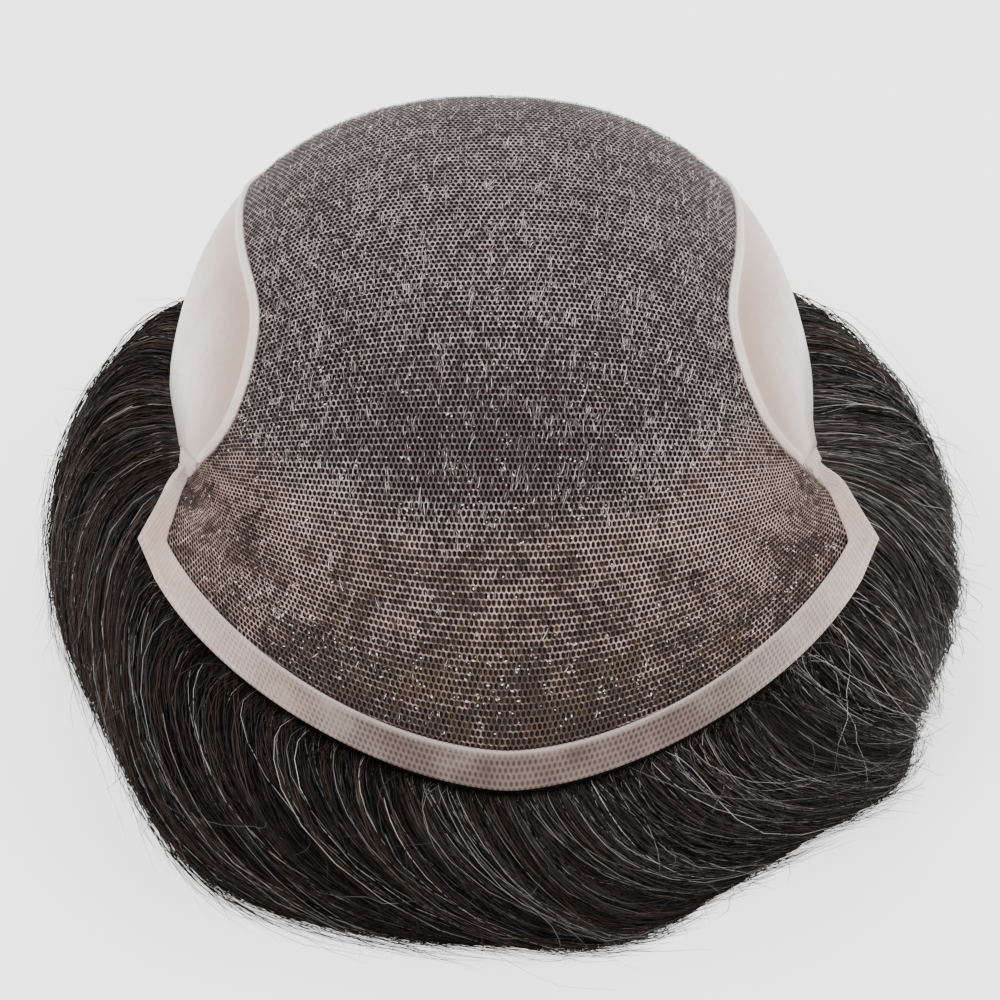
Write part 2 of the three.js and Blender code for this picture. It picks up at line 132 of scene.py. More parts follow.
# How a strand drifts round the skirt, every 30 degrees: degrees late, degrees halfway, delay
STRAND_DRIFT = np.array(
    [
        (16.0, 0.0, 2.4),
        (22.0, -1.0, 2.4),
        (28.0, 1.5, 1.7),
        (16.0, 1.0, 1.4),
        (-4.0, -8.0, 1.6),
        (-8.0, -2.0, 2.2),
        (0.0, 0.0, 2.6),
        (14.0, 0.0, 3.0),
        (24.0, -1.0, 2.8),
        (26.0, -2.0, 2.6),
        (23.0, -3.0, 2.6),
        (19.0, -1.5, 2.6),
    ]
)


def smooth_rows(table: np.ndarray, share: np.ndarray) -> np.ndarray:
    """Smooth rows of a table at shares of its length.

    The formula is a cubic through the rows whose slope at each row is half the
    difference of its neighbours.

    Args:
        table: rows of columns.
        share: places from 0 at the first row to 1 at the last.

    Returns:
        The columns at each place, in the last axis.
    """
    place = np.asarray(share, float) * (len(table) - 1)
    index = np.clip(np.floor(place).astype(int), 0, len(table) - 2)
    rest = (place - index)[..., None]
    start, end = table[index], table[index + 1]
    before = np.where((index > 0)[..., None], table[np.maximum(index - 1, 0)], 2 * start - end)
    last = len(table) - 1
    after = np.where((index < last - 1)[..., None], table[np.minimum(index + 2, last)], 2 * end - start)
    return 0.5 * (
        2 * start
        + (end - before) * rest
        + (2 * before - 5 * start + 4 * end - after) * rest**2
        + (3 * start - before - 3 * end + after) * rest**3
    )


def round_rows(table: np.ndarray, turn: np.ndarray) -> np.ndarray:
    """Smooth rows of a closed table at turns in degrees.

    Args:
        table: rows of columns at even turns, the first after the last.
        turn: places in degrees.

    Returns:
        The columns at each place, in the last axis.
    """
    table = table.reshape(len(table), -1)
    wrapped = np.concatenate([table[-1:], table, table[:2]])
    share = np.mod(np.asarray(turn, float) / 360.0, 1.0)
    return smooth_rows(wrapped, (1 + share * len(table)) / (len(wrapped) - 1))


def unit(vectors: np.ndarray) -> np.ndarray:
    """Vectors of length one."""
    return vectors / np.maximum(np.linalg.norm(vectors, axis=-1, keepdims=True), 1e-9)


def ease(low: float, high: float, value: np.ndarray) -> np.ndarray:
    """A soft step from 0 at low to 1 at high: three times the square less twice the cube."""
    share = np.clip((value - low) / (high - low), 0.0, 1.0)
    return share * share * (3 - 2 * share)


def swell(turn: np.ndarray, centre: float, width: float) -> np.ndarray:
    """A bump over turns in degrees: the bell curve of the shorter way round to its centre.

    Args:
        turn: places in degrees.
        centre: where the bump is 1.
        width: way at which it has sunk to about a third.

    Returns:
        Values from 0 to 1.
    """
    away = np.mod(turn - centre + 180, 360) - 180
    return np.exp(-((away / width) ** 2))


def sample_rows(table: np.ndarray, row: np.ndarray, column: np.ndarray) -> np.ndarray:
    """Values of a table between its entries, straight in both directions.

    Args:
        table: values on an even grid of shares.
        row: shares of the table's height.
        column: shares of its width.

    Returns:
        One value for each pair of shares.
    """
    row, column = np.broadcast_arrays(row, column)
    high, wide = table.shape
    y, x = np.clip(row, 0, 1) * (high - 1), np.clip(column, 0, 1) * (wide - 1)
    i, j = np.minimum(y.astype(int), high - 2), np.minimum(x.astype(int), wide - 2)
    v, u = y - i, x - j
    top = table[i, j] * (1 - u) + table[i, j + 1] * u
    low = table[i + 1, j] * (1 - u) + table[i + 1, j + 1] * u
    return top * (1 - v) + low * v


def places_at(lengths: np.ndarray, wanted: np.ndarray) -> np.ndarray:
    """Shares of each row at which a growing row of lengths reaches a wanted length.

    Args:
        lengths: rows of growing lengths, even in their share.
        wanted: one or more lengths for each row, in the last axis.

    Returns:
        Shares from 0 to 1 of the same shape as wanted.
    """
    count = lengths.shape[-1] - 1
    index = (lengths[:, None, :] <= wanted[:, :, None]).sum(-1) - 1
    index = np.clip(index, 0, count - 1)
    start = np.take_along_axis(lengths, index, 1)
    end = np.take_along_axis(lengths, index + 1, 1)
    return (index + np.clip((wanted - start) / np.maximum(end - start, 1e-9), 0, 1)) / count


@dataclass
class CapForm:
    """The cap's scalp side as a surface of two shares, in millimetres."""

    run: float = 198.0
    crown_height: float = 96.0
    width: float = 130.0
    side_drop: float = 50.0
    spread: float = math.radians(83)
    lace_wall: float = 1.0
    band_width: float = 7.6
    panel_width: float = 39.5
    notch_edge: float = 0.4
    notch_seam: float = 0.33
    long_way: float = 250.0
    fineness: int = 161
    step: float = 0.002
    shift: np.ndarray = field(default_factory=lambda: np.zeros(3))

    def __post_init__(self) -> None:
        """Measures arcs over the cap once, in tables of even shares."""
        self.even = np.linspace(0, 1, self.fineness)
        grid = self.point(self.even[:, None], self.even[None, :])
        lengths = np.linalg.norm(np.diff(grid, axis=1), axis=-1).cumsum(1)
        self.across_lengths = np.pad(lengths, ((0, 0), (1, 0)))
        self.half_arc = self.across_lengths[:, -1]
        self.across_table = places_at(self.across_lengths, self.even[None, :] * self.half_arc[:, None])
        lengths = np.linalg.norm(np.diff(grid, axis=0), axis=-1).cumsum(0)
        self.along_lengths = np.pad(lengths, ((1, 0), (0, 0))).T
        self.middle_arc = self.along_lengths[0]
        row = places_at(self.along_lengths, np.full((self.fineness, 1), self.band_width))
        self.band_line = row[:, 0]

    def point(self, along: np.ndarray, across: np.ndarray) -> np.ndarray:
        """Points of the scalp side.

        Each section is the arch of a superellipse: out goes with a power of the sine of
        the turn and down with a power of its cosine, leaning by the section's angle.

        Args:
            along: shares from the front edge to the back edge.
            across: shares from the middle to a side edge, negative on the left.

        Returns:
            Points in the cap's own place, in the last axis.
        """
        along, across = np.broadcast_arrays(np.asarray(along, float), np.asarray(across, float))
        run, height, lean, aside, width, drop, square = np.moveaxis(smooth_rows(SECTIONS, along), -1, 0)
        power = 2 / square
        turn = across * self.spread
        out = np.sin(np.abs(turn)) ** power / math.sin(self.spread) ** power
        fall = (1 - np.cos(turn) ** power) / (1 - math.cos(self.spread) ** power)
        down = drop * self.side_drop * fall
        lean = np.radians(lean)
        return np.stack(
            [
                (np.sign(across) * out * width / 2 + aside) * self.width,
                run * self.run + np.cos(lean) * down,
                height * self.crown_height + np.sin(lean) * down,
            ],
            axis=-1,
        )

    def normal(self, along: np.ndarray, across: np.ndarray) -> np.ndarray:
        """Directions square off the scalp side, outwards, from the slopes both ways.

        Args:
            along: shares from the front edge to the back edge.
            across: shares from the middle to a side edge.

        Returns:
            Vectors of length one.
        """
        s = np.clip(along, self.step, 1 - self.step)
        w = np.clip(across, self.step - 1, 1 - self.step)
        slope_along = self.point(s + self.step, w) - self.point(s - self.step, w)
        slope_across = self.point(s, w + self.step) - self.point(s, w - self.step)
        return unit(np.cross(slope_across, slope_along))

    def lifted(self, along: np.ndarray, across: np.ndarray, lift: np.ndarray) -> np.ndarray:
        """Points moved square off the scalp side by a lift, in the part's own place."""
        lift = np.asarray(lift, float)[..., None]
        return self.point(along, across) + self.normal(along, across) * lift + self.shift

    def across_at(self, along: np.ndarray, share: np.ndarray) -> np.ndarray:
        """across at a share of the arc from the middle to a side edge, negative on the left."""
        return np.sign(share) * sample_rows(self.across_table, along, np.abs(share))

    def arc_from(self, along: np.ndarray) -> np.ndarray:
        """Length of the arc from the middle to a side edge."""
        return np.interp(along, self.even, self.half_arc)

    def along_middle(self, distance: np.ndarray) -> np.ndarray:
        """along at a distance from the front edge over the middle of the cap."""
        return np.interp(distance, self.middle_arc, self.even)

    def measure(self, along: np.ndarray, across: np.ndarray) -> tuple[np.ndarray, np.ndarray]:
        """Lengths over the cap to a spot: right of the middle and behind the front edge."""
        length = np.sign(across) * sample_rows(self.across_lengths, along, np.abs(across))
        return length, np.interp(along, self.even, self.middle_arc)

    def band_along(self, across: np.ndarray) -> np.ndarray:
        """along of the band's inner edge."""
        return np.interp(np.abs(across), self.even, self.band_line)

    def cover(self, along: np.ndarray) -> np.ndarray:
        """Width of what covers the lace along a side edge."""
        band, panel = np.moveaxis(smooth_rows(SIDE_COVER, along), -1, 0)
        return band * self.band_width + panel * self.panel_width

    def seam(self, along: np.ndarray, clearance: float = 0.0) -> np.ndarray:
        """Share of the arc from the middle at which the lace ends."""
        return 1 - (self.cover(along) + clearance) / self.arc_from(along)


@dataclass
class SkirtForm:
    """The hair round the cap as a surface of a turn and of a share of the way down."""

    cap: CapForm
    reach: float = 36.0
    wall: float = 9.0
    rim_tuck: float = 1.5
    rim_drop: float = 2.6
    sweep_delay: float = 1.6
    puff_delay: float = 0.8
    loop_squareness: float = 8.0
    step: float = 0.002

    def loop(self, turn: np.ndarray, inset: float, size: np.ndarray) -> tuple[np.ndarray, np.ndarray]:
        """Spots on the rounded line round the cap.

        The line is a superellipse of along and across, shrunk by a size.

        Args:
            turn: bearings in degrees from the middle of the front.
            inset: distance in from the cap's edge.
            size: share by which the line is shrunk towards the crown.

        Returns:
            along and across.
        """
        angle = np.radians(turn)
        front, right = np.cos(angle), np.sin(angle)
        power = self.loop_squareness
        radius = size * (np.abs(front) ** power + np.abs(right) ** power) ** (-1 / power)
        inset_along = self.cap.along_middle(inset)
        middle = np.array(0.5)
        half = float(self.cap.across_at(middle, 1 - inset / self.cap.arc_from(middle)))
        return 0.5 - (0.5 - inset_along) * radius * front, half * radius * right

    def point(
        self, turn: np.ndarray, share: np.ndarray, depth: np.ndarray = 0.0, lift: np.ndarray = 0.0
    ) -> np.ndarray:
        """Points of the skirt in the part's own place.

        A point stands out from the cap's edge by the hair's reach and stands at a share of
        the edge's height, both from the table, and turns round the cap by the sweep.

        Args:
            turn: bearings of the roots in degrees.
            share: way from the cap's edge at 0 to the surface at 1.
            depth: 0 on the outer face and 1 on the inner face.
            lift: distance off the outer face.

        Returns:
            Points in the last axis.
        """
        turn, share, depth, lift = np.broadcast_arrays(turn, share, depth, lift)
        along, across = self.loop(turn, 0.0, 1.0)
        rim = self.cap.lifted(along, across, np.full(along.shape, -self.cap.lace_wall)) - self.cap.shift
        reach, puff, sweep = np.moveaxis(round_rows(HAIR_TURNS, turn), -1, 0)
        bearing = np.arctan2(rim[..., 0], -rim[..., 1])
        swept = bearing + np.radians(sweep) * np.clip(share, 0, 1) ** self.sweep_delay
        distance = np.hypot(rim[..., 0], rim[..., 1]) - self.rim_tuck
        height = rim[..., 2] - self.rim_drop

        def profile(spot: np.ndarray) -> tuple[np.ndarray, np.ndarray]:
            """Distance and height of the skirt's profile at a share."""
            out, up, back, sink = np.moveaxis(smooth_rows(SKIRT_SHAPE, spot), -1, 0)
            up = up + puff * np.sin(np.pi * np.clip(spot, 0, 1) ** self.puff_delay) * spot
            away = distance + out * reach * self.reach - back * self.wall * depth
            return away, up * height - sink * self.wall * depth

        ahead = profile(np.minimum(share + self.step, 1))
        behind = profile(np.maximum(share - self.step, 0))
        slope = unit(np.stack([ahead[0] - behind[0], ahead[1] - behind[1]], -1))
        out, up = profile(share)
        out, up = out - slope[..., 1] * lift, up + slope[..., 0] * lift
        return np.stack([np.sin(swept) * out, -np.cos(swept) * out, up], -1) + self.cap.shift

    def drifted(self, root: np.ndarray, share: np.ndarray) -> np.ndarray:
        """Turn that a strand has reached: its root, a late drift and a bow halfway.

        Args:
            root: the strand's own turn in degrees.
            share: way down from the cap's edge.

        Returns:
            Turns in degrees.
        """
        late, halfway, delay = np.moveaxis(round_rows(STRAND_DRIFT, root), -1, 0)
        spot = np.clip(share, 0, 1)
        return root + late * spot**delay + halfway * np.sin(np.pi * spot)

    def root_of(self, turn: np.ndarray, share: np.ndarray) -> np.ndarray:
        """Root of the strand that passes a spot, in three rounds of correction.

        Args:
            turn: the spot's turn in degrees.
            share: the spot's way down from the cap's edge.

        Returns:
            Roots in degrees.
        """
        root = np.asarray(turn, float)
        for _ in range(3):
            root = root + turn - self.drifted(root, share)
        return root


class Value:
    """A shader socket in arithmetic: each operator adds its Math node."""

    def __init__(self, board: Board, socket: bpy.types.NodeSocket) -> None:
        """Keeps the board that the socket is on."""
        self.board = board
        self.socket = socket

    def __add__(self, other: Term) -> Value:
        """Sum."""
        return self.board.math("ADD", self, other)

    def __sub__(self, other: Term) -> Value:
        """Difference."""
        return self.board.math("SUBTRACT", self, other)

    def __rsub__(self, other: Term) -> Value:
        """Difference with the socket taken away."""
        return self.board.math("SUBTRACT", other, self)

    def __mul__(self, other: Term) -> Value:
        """Product."""
        return self.board.math("MULTIPLY", self, other)

    def __truediv__(self, other: Term) -> Value:
        """Quotient."""
        return self.board.math("DIVIDE", self, other)

    def __pow__(self, other: Term) -> Value:
        """Power."""
        return self.board.math("POWER", self, other)

    __radd__ = __add__
    __rmul__ = __mul__

    def fraction(self) -> Value:
        """What is left past the whole number."""
        return self.board.math("FRACT", self)

    def size(self) -> Value:
        """The value without its sign."""
        return self.board.math("ABSOLUTE", self)

    def least(self, other: Term) -> Value:
        """The smaller of two values."""
        return self.board.math("MINIMUM", self, other)

    def ramp(self, low: float, high: float) -> Value:
        """A soft step from 0 at low to 1 at high."""
        settings = {"interpolation_type": "SMOOTHSTEP"}
        values = {"Value": self, "From Min": low, "From Max": high}
        return self.board.output("ShaderNodeMapRange", settings, values, "Result")


Term = Value | float
Chance = Callable[[np.ndarray, np.ndarray], np.ndarray]


@dataclass(frozen=True)
class Colour:
    """A colour in the linear values that shaders use."""

    red: float
    green: float
    blue: float

    @property
    def rgba(self) -> tuple[float, float, float, float]:
        """The four numbers of a colour socket."""
        return (self.red, self.green, self.blue, 1.0)


def hex_colour(code: str) -> Colour:
    """Colour of a code such as 1b1817, turned from screen values to linear ones."""
    parts = [int(code[i : i + 2], 16) / 255 for i in (0, 2, 4)]
    return Colour(*[p / 12.92 if p <= 0.04045 else ((p + 0.055) / 1.055) ** 2.4 for p in parts])


class Board:
    """One material's nodes."""

    def __init__(self, name: str) -> None:
        """Starts a material with a Principled shader on its output."""
        self.material = bpy.data.materials.new(name)
        self.material.use_nodes = True
        self.nodes = self.material.node_tree.nodes
        self.links = self.material.node_tree.links
        self.shader = self.nodes["Principled BSDF"]

    def node(self, kind: str, settings: dict, values: dict) -> bpy.types.Node:
        """A node of a kind.

        Args:
            kind: the node's type.
            settings: attributes that are set first.
            values: numbers, colours or links of its input sockets by name or place.

        Returns:
            The node.
        """
        made = self.nodes.new(kind)
        for name, value in settings.items():
            setattr(made, name, value)
        for name, value in values.items():
            self.feed(made.inputs[name], value)
        return made

    def feed(self, socket: bpy.types.NodeSocket, value: object) -> None:
        """Links or sets one input socket.

        Args:
            socket: the input.
            value: a link, a colour or a number.
        """
        if isinstance(value, Value):
            self.links.new(value.socket, socket)
        elif isinstance(value, Colour):
            socket.default_value = value.rgba
        else:
            socket.default_value = value

    def output(self, kind: str, settings: dict, values: dict, name: str | int = 0) -> Value:
        """One output of a new node."""
        return Value(self, self.node(kind, settings, values).outputs[name])

    def math(self, operation: str, *terms: Term) -> Value:
        """A Math node of an operation and its terms."""
        return self.output("ShaderNodeMath", {"operation": operation}, dict(enumerate(terms)))

    def mix(self, factor: Term, first: object, second: object, blend: str = "MIX") -> Value:
        """A colour between two colours."""
        settings = {"data_type": "RGBA", "blend_type": blend}
        return self.output("ShaderNodeMix", settings, {0: factor, 6: first, 7: second}, 2)

    def attribute(self, name: str, part: str = "Fac") -> Value:
        """A value or colour kept on the mesh."""
        return self.output("ShaderNodeAttribute", {"attribute_name": name}, {}, part)

    def place(self) -> Value:
        """Place on the piece in metres."""
        return self.output("ShaderNodeTexCoord", {}, {}, "Object")

    def split(self, vector: Value) -> list[Value]:
        """The three numbers of a vector."""
        return [Value(self, part) for part in self.node("ShaderNodeSeparateXYZ", {}, {0: vector}).outputs]

    def joined(self, x: Term, y: Term, z: Term = 0.0) -> Value:
        """A vector of three numbers."""
        return self.output("ShaderNodeCombineXYZ", {}, {0: x, 1: y, 2: z})

    def noise(self, vector: Value, scale: float, detail: float = 2.0, rough: float = 0.5) -> Value:
        """Noise from 0 to 1."""
        values = {"Vector": vector, "Scale": scale, "Detail": detail, "Roughness": rough}
        return self.output("ShaderNodeTexNoise", {}, values)

    def bump(self, height: Value, strength: float, distance: float) -> None:
        """Feeds the shader's normal from a height."""
        values = {"Height": height, "Strength": strength, "Distance": distance}
        self.feed(self.shader.inputs["Normal"], self.output("ShaderNodeBump", {}, values))

    def finish(self, **values: object) -> bpy.types.Material:
        """Sets the shader's sockets.

        Args:
            **values: what each socket gets, by its name with _ for a space.

        Returns:
            The material.
        """
        for name, value in values.items():
            self.feed(self.shader.inputs[name.replace("_", " ")], value)
        return self.material


@dataclass(frozen=True)
class LaceThread:
    """Fine monofilament of the net: mauve grey at the crown, pinkish towards the hairline."""

    crown: str = "c0adad"
    crown_dark: str = "544647"
    moss: str = "4f4f49"
    front: str = "c9aca4"
    front_dark: str = "40322c"
    olive: str = "675743"
    roughness: float = 0.62
    patches: float = 95.0
    spots: float = 820.0
    grains: float = 1500.0
    mosses: float = 270.0
    blots: float = 210.0
    olives: float = 75.0

    def build(self) -> bpy.types.Material:
        """The threads: tones kept on the mesh, streaks along the comb, patches and a speckle.

        Returns:
            The material.
        """
        board = Board("lace_thread")
        place = board.place()
        tone = board.attribute("tone")
        comb = board.split(board.attribute("comb", "Vector"))
        slanted = comb[0] - comb[1] * 0.3
        streak = board.noise(board.joined(slanted * 0.75, comb[1] * 0.16), 1.0, 4.0, 0.7)
        patch = board.noise(place, self.patches, 3.0, 0.6)
        spot = board.noise(place, self.spots, 2.0, 0.6).ramp(0.34, 0.66)
        tip = board.attribute("tip")
        fine = board.noise(place, self.grains, 1.0).ramp(0.3, 0.7)
        uneven = (streak - 0.5) * 2.2 + (patch - 0.5) * 0.9 + (spot - 0.5) * 0.85
        raised = tone + uneven + (tip - 0.6) * 0.35
        crown = board.mix(raised, hex_colour(self.crown_dark), hex_colour(self.crown))
        mossy = board.noise(place, self.mosses, 2.0).ramp(0.54, 0.68)
        crown = board.mix(mossy * 0.6, crown, hex_colour(self.moss))
        blot = board.noise(place, self.blots, 2.0, 0.6).ramp(0.3, 0.7) - 0.5
        mottled = tone + (patch - 0.5) * 1.6 + blot * 0.5
        mottled = mottled + (spot - 0.5) * 0.6 + (tip - 0.6) * 0.5
        front = board.mix(mottled, hex_colour(self.front_dark), hex_colour(self.front))
        warm = board.attribute("warm") * 0.45 + 0.2
        warm = board.noise(place, self.olives, 2.0).ramp(0.5, 0.68) * warm
        front = board.mix(warm, front, hex_colour(self.olive))
        base = board.mix(board.attribute("zone"), crown, front)
        colour = board.mix(fine * 0.45, base, Colour(0.05, 0.04, 0.038))
        return board.finish(Base_Color=colour, Roughness=self.roughness, Specular_IOR_Level=0.2)


@dataclass(frozen=True)
class FoldedLace:
    """Double lace of the front band, with the net's cells showing through it."""

    light: str = "d8c4b9"
    warm: str = "cfaf9d"
    middle: str = "55463f"
    end: str = "d9c8be"
    light_hole: str = "94807a"
    middle_hole: str = "382d29"
    # Painted highlight colour of the band's inner fold.
    fold: str = "dccbc1"
    roughness: float = 0.7

    def build(self) -> bpy.types.Material:
        """The cloth: staggered cells from the cell numbers, fainter at the sides, with a painted highlight
        along the inner fold.

        Returns:
            The material.
        """
        board = Board("folded_lace")
        place = board.place()
        cell = board.split(board.attribute("cell", "Vector"))
        middle = board.attribute("middle")
        u = cell[0].fraction() - 0.5
        v = cell[1].fraction() - 0.5
        u_next = (cell[0] + 0.5).fraction() - 0.5
        v_next = (cell[1] + 0.5).fraction() - 0.5
        first = board.math("ADD", (u * 2.7) ** 2.0, (v * 4.2) ** 2.0)
        second = board.math("ADD", (u_next * 2.7) ** 2.0, (v_next * 4.2) ** 2.0)
        hole = 1.0 - first.least(second).ramp(0.15, 1.1)
        cloud = board.noise(place, 130.0, 3.0)
        depth = hole * (middle * 0.5 + 0.45) * cloud.ramp(0.1, 0.55)
        tanned = board.noise(place, 32.0, 2.0).ramp(0.42, 0.66)
        side = board.mix(tanned, hex_colour(self.light), hex_colour(self.warm))
        base = board.mix(middle * 0.9 + (cloud - 0.5) * 0.5, side, hex_colour(self.middle))
        under = board.mix(middle, hex_colour(self.light_hole), hex_colour(self.middle_hole))
        grain = board.noise(place, 900.0, 2.0)
        base = board.mix(board.attribute("notch"), base, hex_colour(self.end))
        cloth = board.mix(depth, base, under)
        cloth = board.mix((grain - 0.35) * 0.5, cloth, Colour(0.1, 0.075, 0.065))
        # Painted highlight: a near-white line along the band's inner fold.
        colour = board.mix(board.attribute("fold") * 0.7, cloth, hex_colour(self.fold))
        board.bump((1.0 - hole) * 0.6 + grain * 0.6, 0.5, 0.0002)
        return board.finish(Base_Color=colour, Roughness=self.roughness, Specular_IOR_Level=0.3)


@dataclass(frozen=True)
class ThinSkin:
    """Milky film over gauze on the side panels, with a clear rim; the rim and the outer edge carry a
    painted highlight.
    """

    milk: str = "fffdfb"
    beige: str = "cba697"
    strip: str = "b89f93"
    # Painted highlight colour of the raised rim and the outer edge.
    rim: str = "f4ebe2"
    roughness: float = 0.34

    def build(self) -> bpy.types.Material:
        """The film: beige near the lace, milky outside, with faint slanting gauze and a painted highlight
        on the rim and the outer edge.

        Returns:
            The material.
        """
        board = Board("thin_skin")
        place = board.place()
        inward = board.attribute("inward")
        rim = board.attribute("rim")
        u, v, _ = board.split(board.attribute("cell", "Vector"))
        bend = board.noise(place, 60.0, 2.0) * 1.6
        slant = (u * 0.75 + v * 0.62 + bend).fraction() - 0.5
        cross = (u * 0.7 - v * 0.85 + bend).fraction() - 0.5
        gauze = slant.size() * 1.1 + cross.size() * 0.7
        cloud = board.noise(place, 45.0, 4.0, 0.6)
        warm = (inward + (cloud - 0.5) * 0.9).ramp(-0.1, 0.8)
        base = board.mix(warm, hex_colour(self.milk), hex_colour(self.beige))
        speck = board.noise(place, 700.0, 2.0).ramp(0.52, 0.72)
        woven = board.mix(gauze * 0.7 + speck * 0.4 - 0.18, base, Colour(0.42, 0.32, 0.27))
        notch = board.attribute("notch")
        woven = board.mix(notch, woven, hex_colour(self.strip))
        # Painted highlight: the raised rim and the outer edge are mixed towards a near-white colour, less
        # at the notch.
        colour = board.mix(rim * (1.0 - notch * 0.6), woven, hex_colour(self.rim))
        board.bump(gauze * 0.5 + cloud * 0.8 + board.noise(place, 500.0, 3.0) * 0.4, 0.25, 0.0003)
        return board.finish(
            Base_Color=colour,
            Roughness=board.noise(place, 80.0).ramp(0.0, 1.6) * 0.3 + (self.roughness - 0.05),
            Subsurface_Weight=0.15,
            Subsurface_Scale=0.002,
            Coat_Weight=0.15,
        )


@dataclass(frozen=True)
class HairRoots:
    """Dark knotted roots under the net, combed along the cap."""

    black: str = "130f0e"
    umber: str = "1b1513"
    brown: str = "513f36"
    grey: str = "4a4442"
    roughness: float = 0.7

    def build(self) -> bpy.types.Material:
        """The roots: fine streaks along the cell numbers, browner towards the hairline.

        Returns:
            The material.
        """
        board = Board("hair_roots")
        cell = board.split(board.attribute("cell", "Vector"))
        streak = board.noise(board.joined(cell[0] * 1.7, cell[1] * 0.14), 1.0, 4.0, 0.65)
        base = board.mix(streak.ramp(0.5, 0.8), hex_colour(self.black), hex_colour(self.grey))
        front = board.mix(streak.ramp(0.4, 0.75), hex_colour(self.umber), hex_colour(self.brown))
        board.bump(streak, 0.6, 0.0006)
        return board.finish(
            Base_Color=board.mix(board.attribute("zone"), base, front),
            Roughness=self.roughness,
            Specular_IOR_Level=0.1,
        )


@dataclass(frozen=True)
class HairMass:
    """The body of the hair: near black with brown and charcoal streaks along the flow, which show only on
    the lock crests as painted shade between the locks.
    """

    black: str = "0f0c0c"
    charcoal: str = "3f3a39"
    brown: str = "382c26"
    roughness: float = 0.6

    def build(self) -> bpy.types.Material:
        """The body: noise drawn out along the strands, with painted shade: black between the locks.

        Returns:
            The material.
        """
        board = Board("hair_mass")
        flow = board.split(board.attribute("flow", "Vector"))
        crest_light = board.attribute("crest_light")
        fine = board.noise(board.joined(flow[0] * 2.6, flow[1] * 0.4), 1.0, 5.0, 0.75)
        broad = board.noise(board.joined(flow[0] * 0.16, flow[1] * 0.3), 1.0, 2.0)
        # Painted shade: the charcoal and brown streaks are scaled by the crest value, so the hollows
        # between the locks stay black.
        base = board.mix(fine.ramp(0.45, 0.8) * crest_light, hex_colour(self.black), hex_colour(self.charcoal))
        warm = board.mix(broad.ramp(0.5, 0.7) * crest_light * 0.35, base, hex_colour(self.brown))
        board.bump(fine, 0.9, 0.0012)
        return board.finish(Base_Color=warm, Roughness=self.roughness, Specular_IOR_Level=0.08)


@dataclass(frozen=True)
class HairStrand:
    """Loose hair whose colour comes from each strand's own tint."""

    roughness: float = 0.55
    gloss: float = 0.05

    def build(self) -> bpy.types.Material:
        """The strand: its tint, a little uneven along it.

        Returns:
            The material.
        """
        board = Board("hair_strand")
        tint = board.attribute("tint", "Color")
        uneven = board.noise(board.place(), 260.0, 2.0)
        colour = board.mix(uneven.ramp(0.35, 0.8) * 0.45, tint, Colour(0.006, 0.005, 0.005))
        return board.finish(Base_Color=colour, Roughness=self.roughness, Specular_IOR_Level=self.gloss)


@dataclass(frozen=True)
class HairTints:
    """Colours of single strands round the cap and of the short hairs in the net."""

    black: str = "110e0e"
    soft: str = "4d4744"
    brown: str = "57463b"
    grey: str = "8a8683"
    white: str = "d9d6d3"
    stub_light: str = "e6e1dd"
    stub_dull: str = "aaa4a0"
    stub_dark: str = "1a1615"

    def row(self, code: str) -> np.ndarray:
        """A colour as four numbers in a row."""
        return np.array(hex_colour(code).rgba)

    def strands(
        self, tone: np.ndarray, light: np.ndarray, root: np.ndarray, maker: np.random.Generator
    ) -> np.ndarray:
        """Colours of strands: mostly near black, brown more often on the left, some grey.

        Args:
            tone: a number from 0 to 1 for each strand.
            light: whether a strand is grey.
            root: its root's turn in degrees.
            maker: source of the numbers.

        Returns:
            A colour for each strand.
        """
        black, brown, grey = self.row(self.black), self.row(self.brown), self.row(self.grey)
        one = (len(tone), 1)
        mixed = black + (self.row(self.soft) - black) * maker.uniform(0, 1, one) ** 1.5
        browned = tone < 0.05 + 0.1 * ease(200.0, 270.0, np.mod(root, 360.0))
        pale = grey + (self.row(self.white) - grey) * maker.uniform(0, 1, one) ** 2
        colour = np.where(browned[:, None], brown * maker.uniform(0.4, 1.1, one), mixed)
        # Painted shade: strands round the front and lower left are darker, the rest a little lighter.
        colour = colour * (1.15 - 0.45 * swell(root, 340, 48))[:, None]
        colour = np.where(light[:, None], pale * maker.uniform(0.3, 1.0, one), colour)
        colour[:, 3] = 1.0
        return colour

    def stubs(self, light: np.ndarray) -> np.ndarray:
        """Colours of short hairs by a number from 0 to 1 for each: light, dull or dark."""
        dull = np.where((light > 0.25)[:, None], self.row(self.stub_dull), self.row(self.stub_dark))
        return np.where((light > 0.6)[:, None], self.row(self.stub_light), dull)


@dataclass(frozen=True)
class KnotSpeck:
    """Knots and stubs of grey hair in the net; the knots' near-white colour is partly bleaching and partly
    a painted glint.
    """

    light: str = "efe6df"
    warm: str = "a8927f"

    def build(self) -> bpy.types.Material:
        """The knots: cream to beige from place to place.

        Returns:
            The material.
        """
        board = Board("knot_speck")
        place = board.place()
        tanned = board.noise(place, 300.0, 1.0).ramp(0.4, 0.7)
        # Near-white knots: partly bleached knots, partly painted glints.
        colour = board.mix(tanned, hex_colour(self.light), hex_colour(self.warm))
        return board.finish(Base_Color=colour, Roughness=0.55, Specular_IOR_Level=0.45)


@dataclass(frozen=True)
class StudioFloor:
    """Plain pale floor."""

    colour: str = "fbfbfb"
    glow: float = 1.6

    def build(self) -> bpy.types.Material:
        """The floor, with a trace of unevenness in its roughness.

        Returns:
            The material.
        """
        board = Board("studio_floor")
        rough = board.noise(board.place(), 4.0).ramp(0.0, 1.0) * 0.1 + 0.75
        return board.finish(
            Base_Color=hex_colour(self.colour),
            Roughness=rough,
            Emission_Color=Colour(1.0, 1.0, 1.0),
            Emission_Strength=self.glow,
        )


class Slot(Enum):
    """The record's material slots."""

    LACE = "lace"
    BAND = "lace_band"
    SKIN = "thin_skin"
    ROOTS = "hair_roots"
    HAIR = "hair"


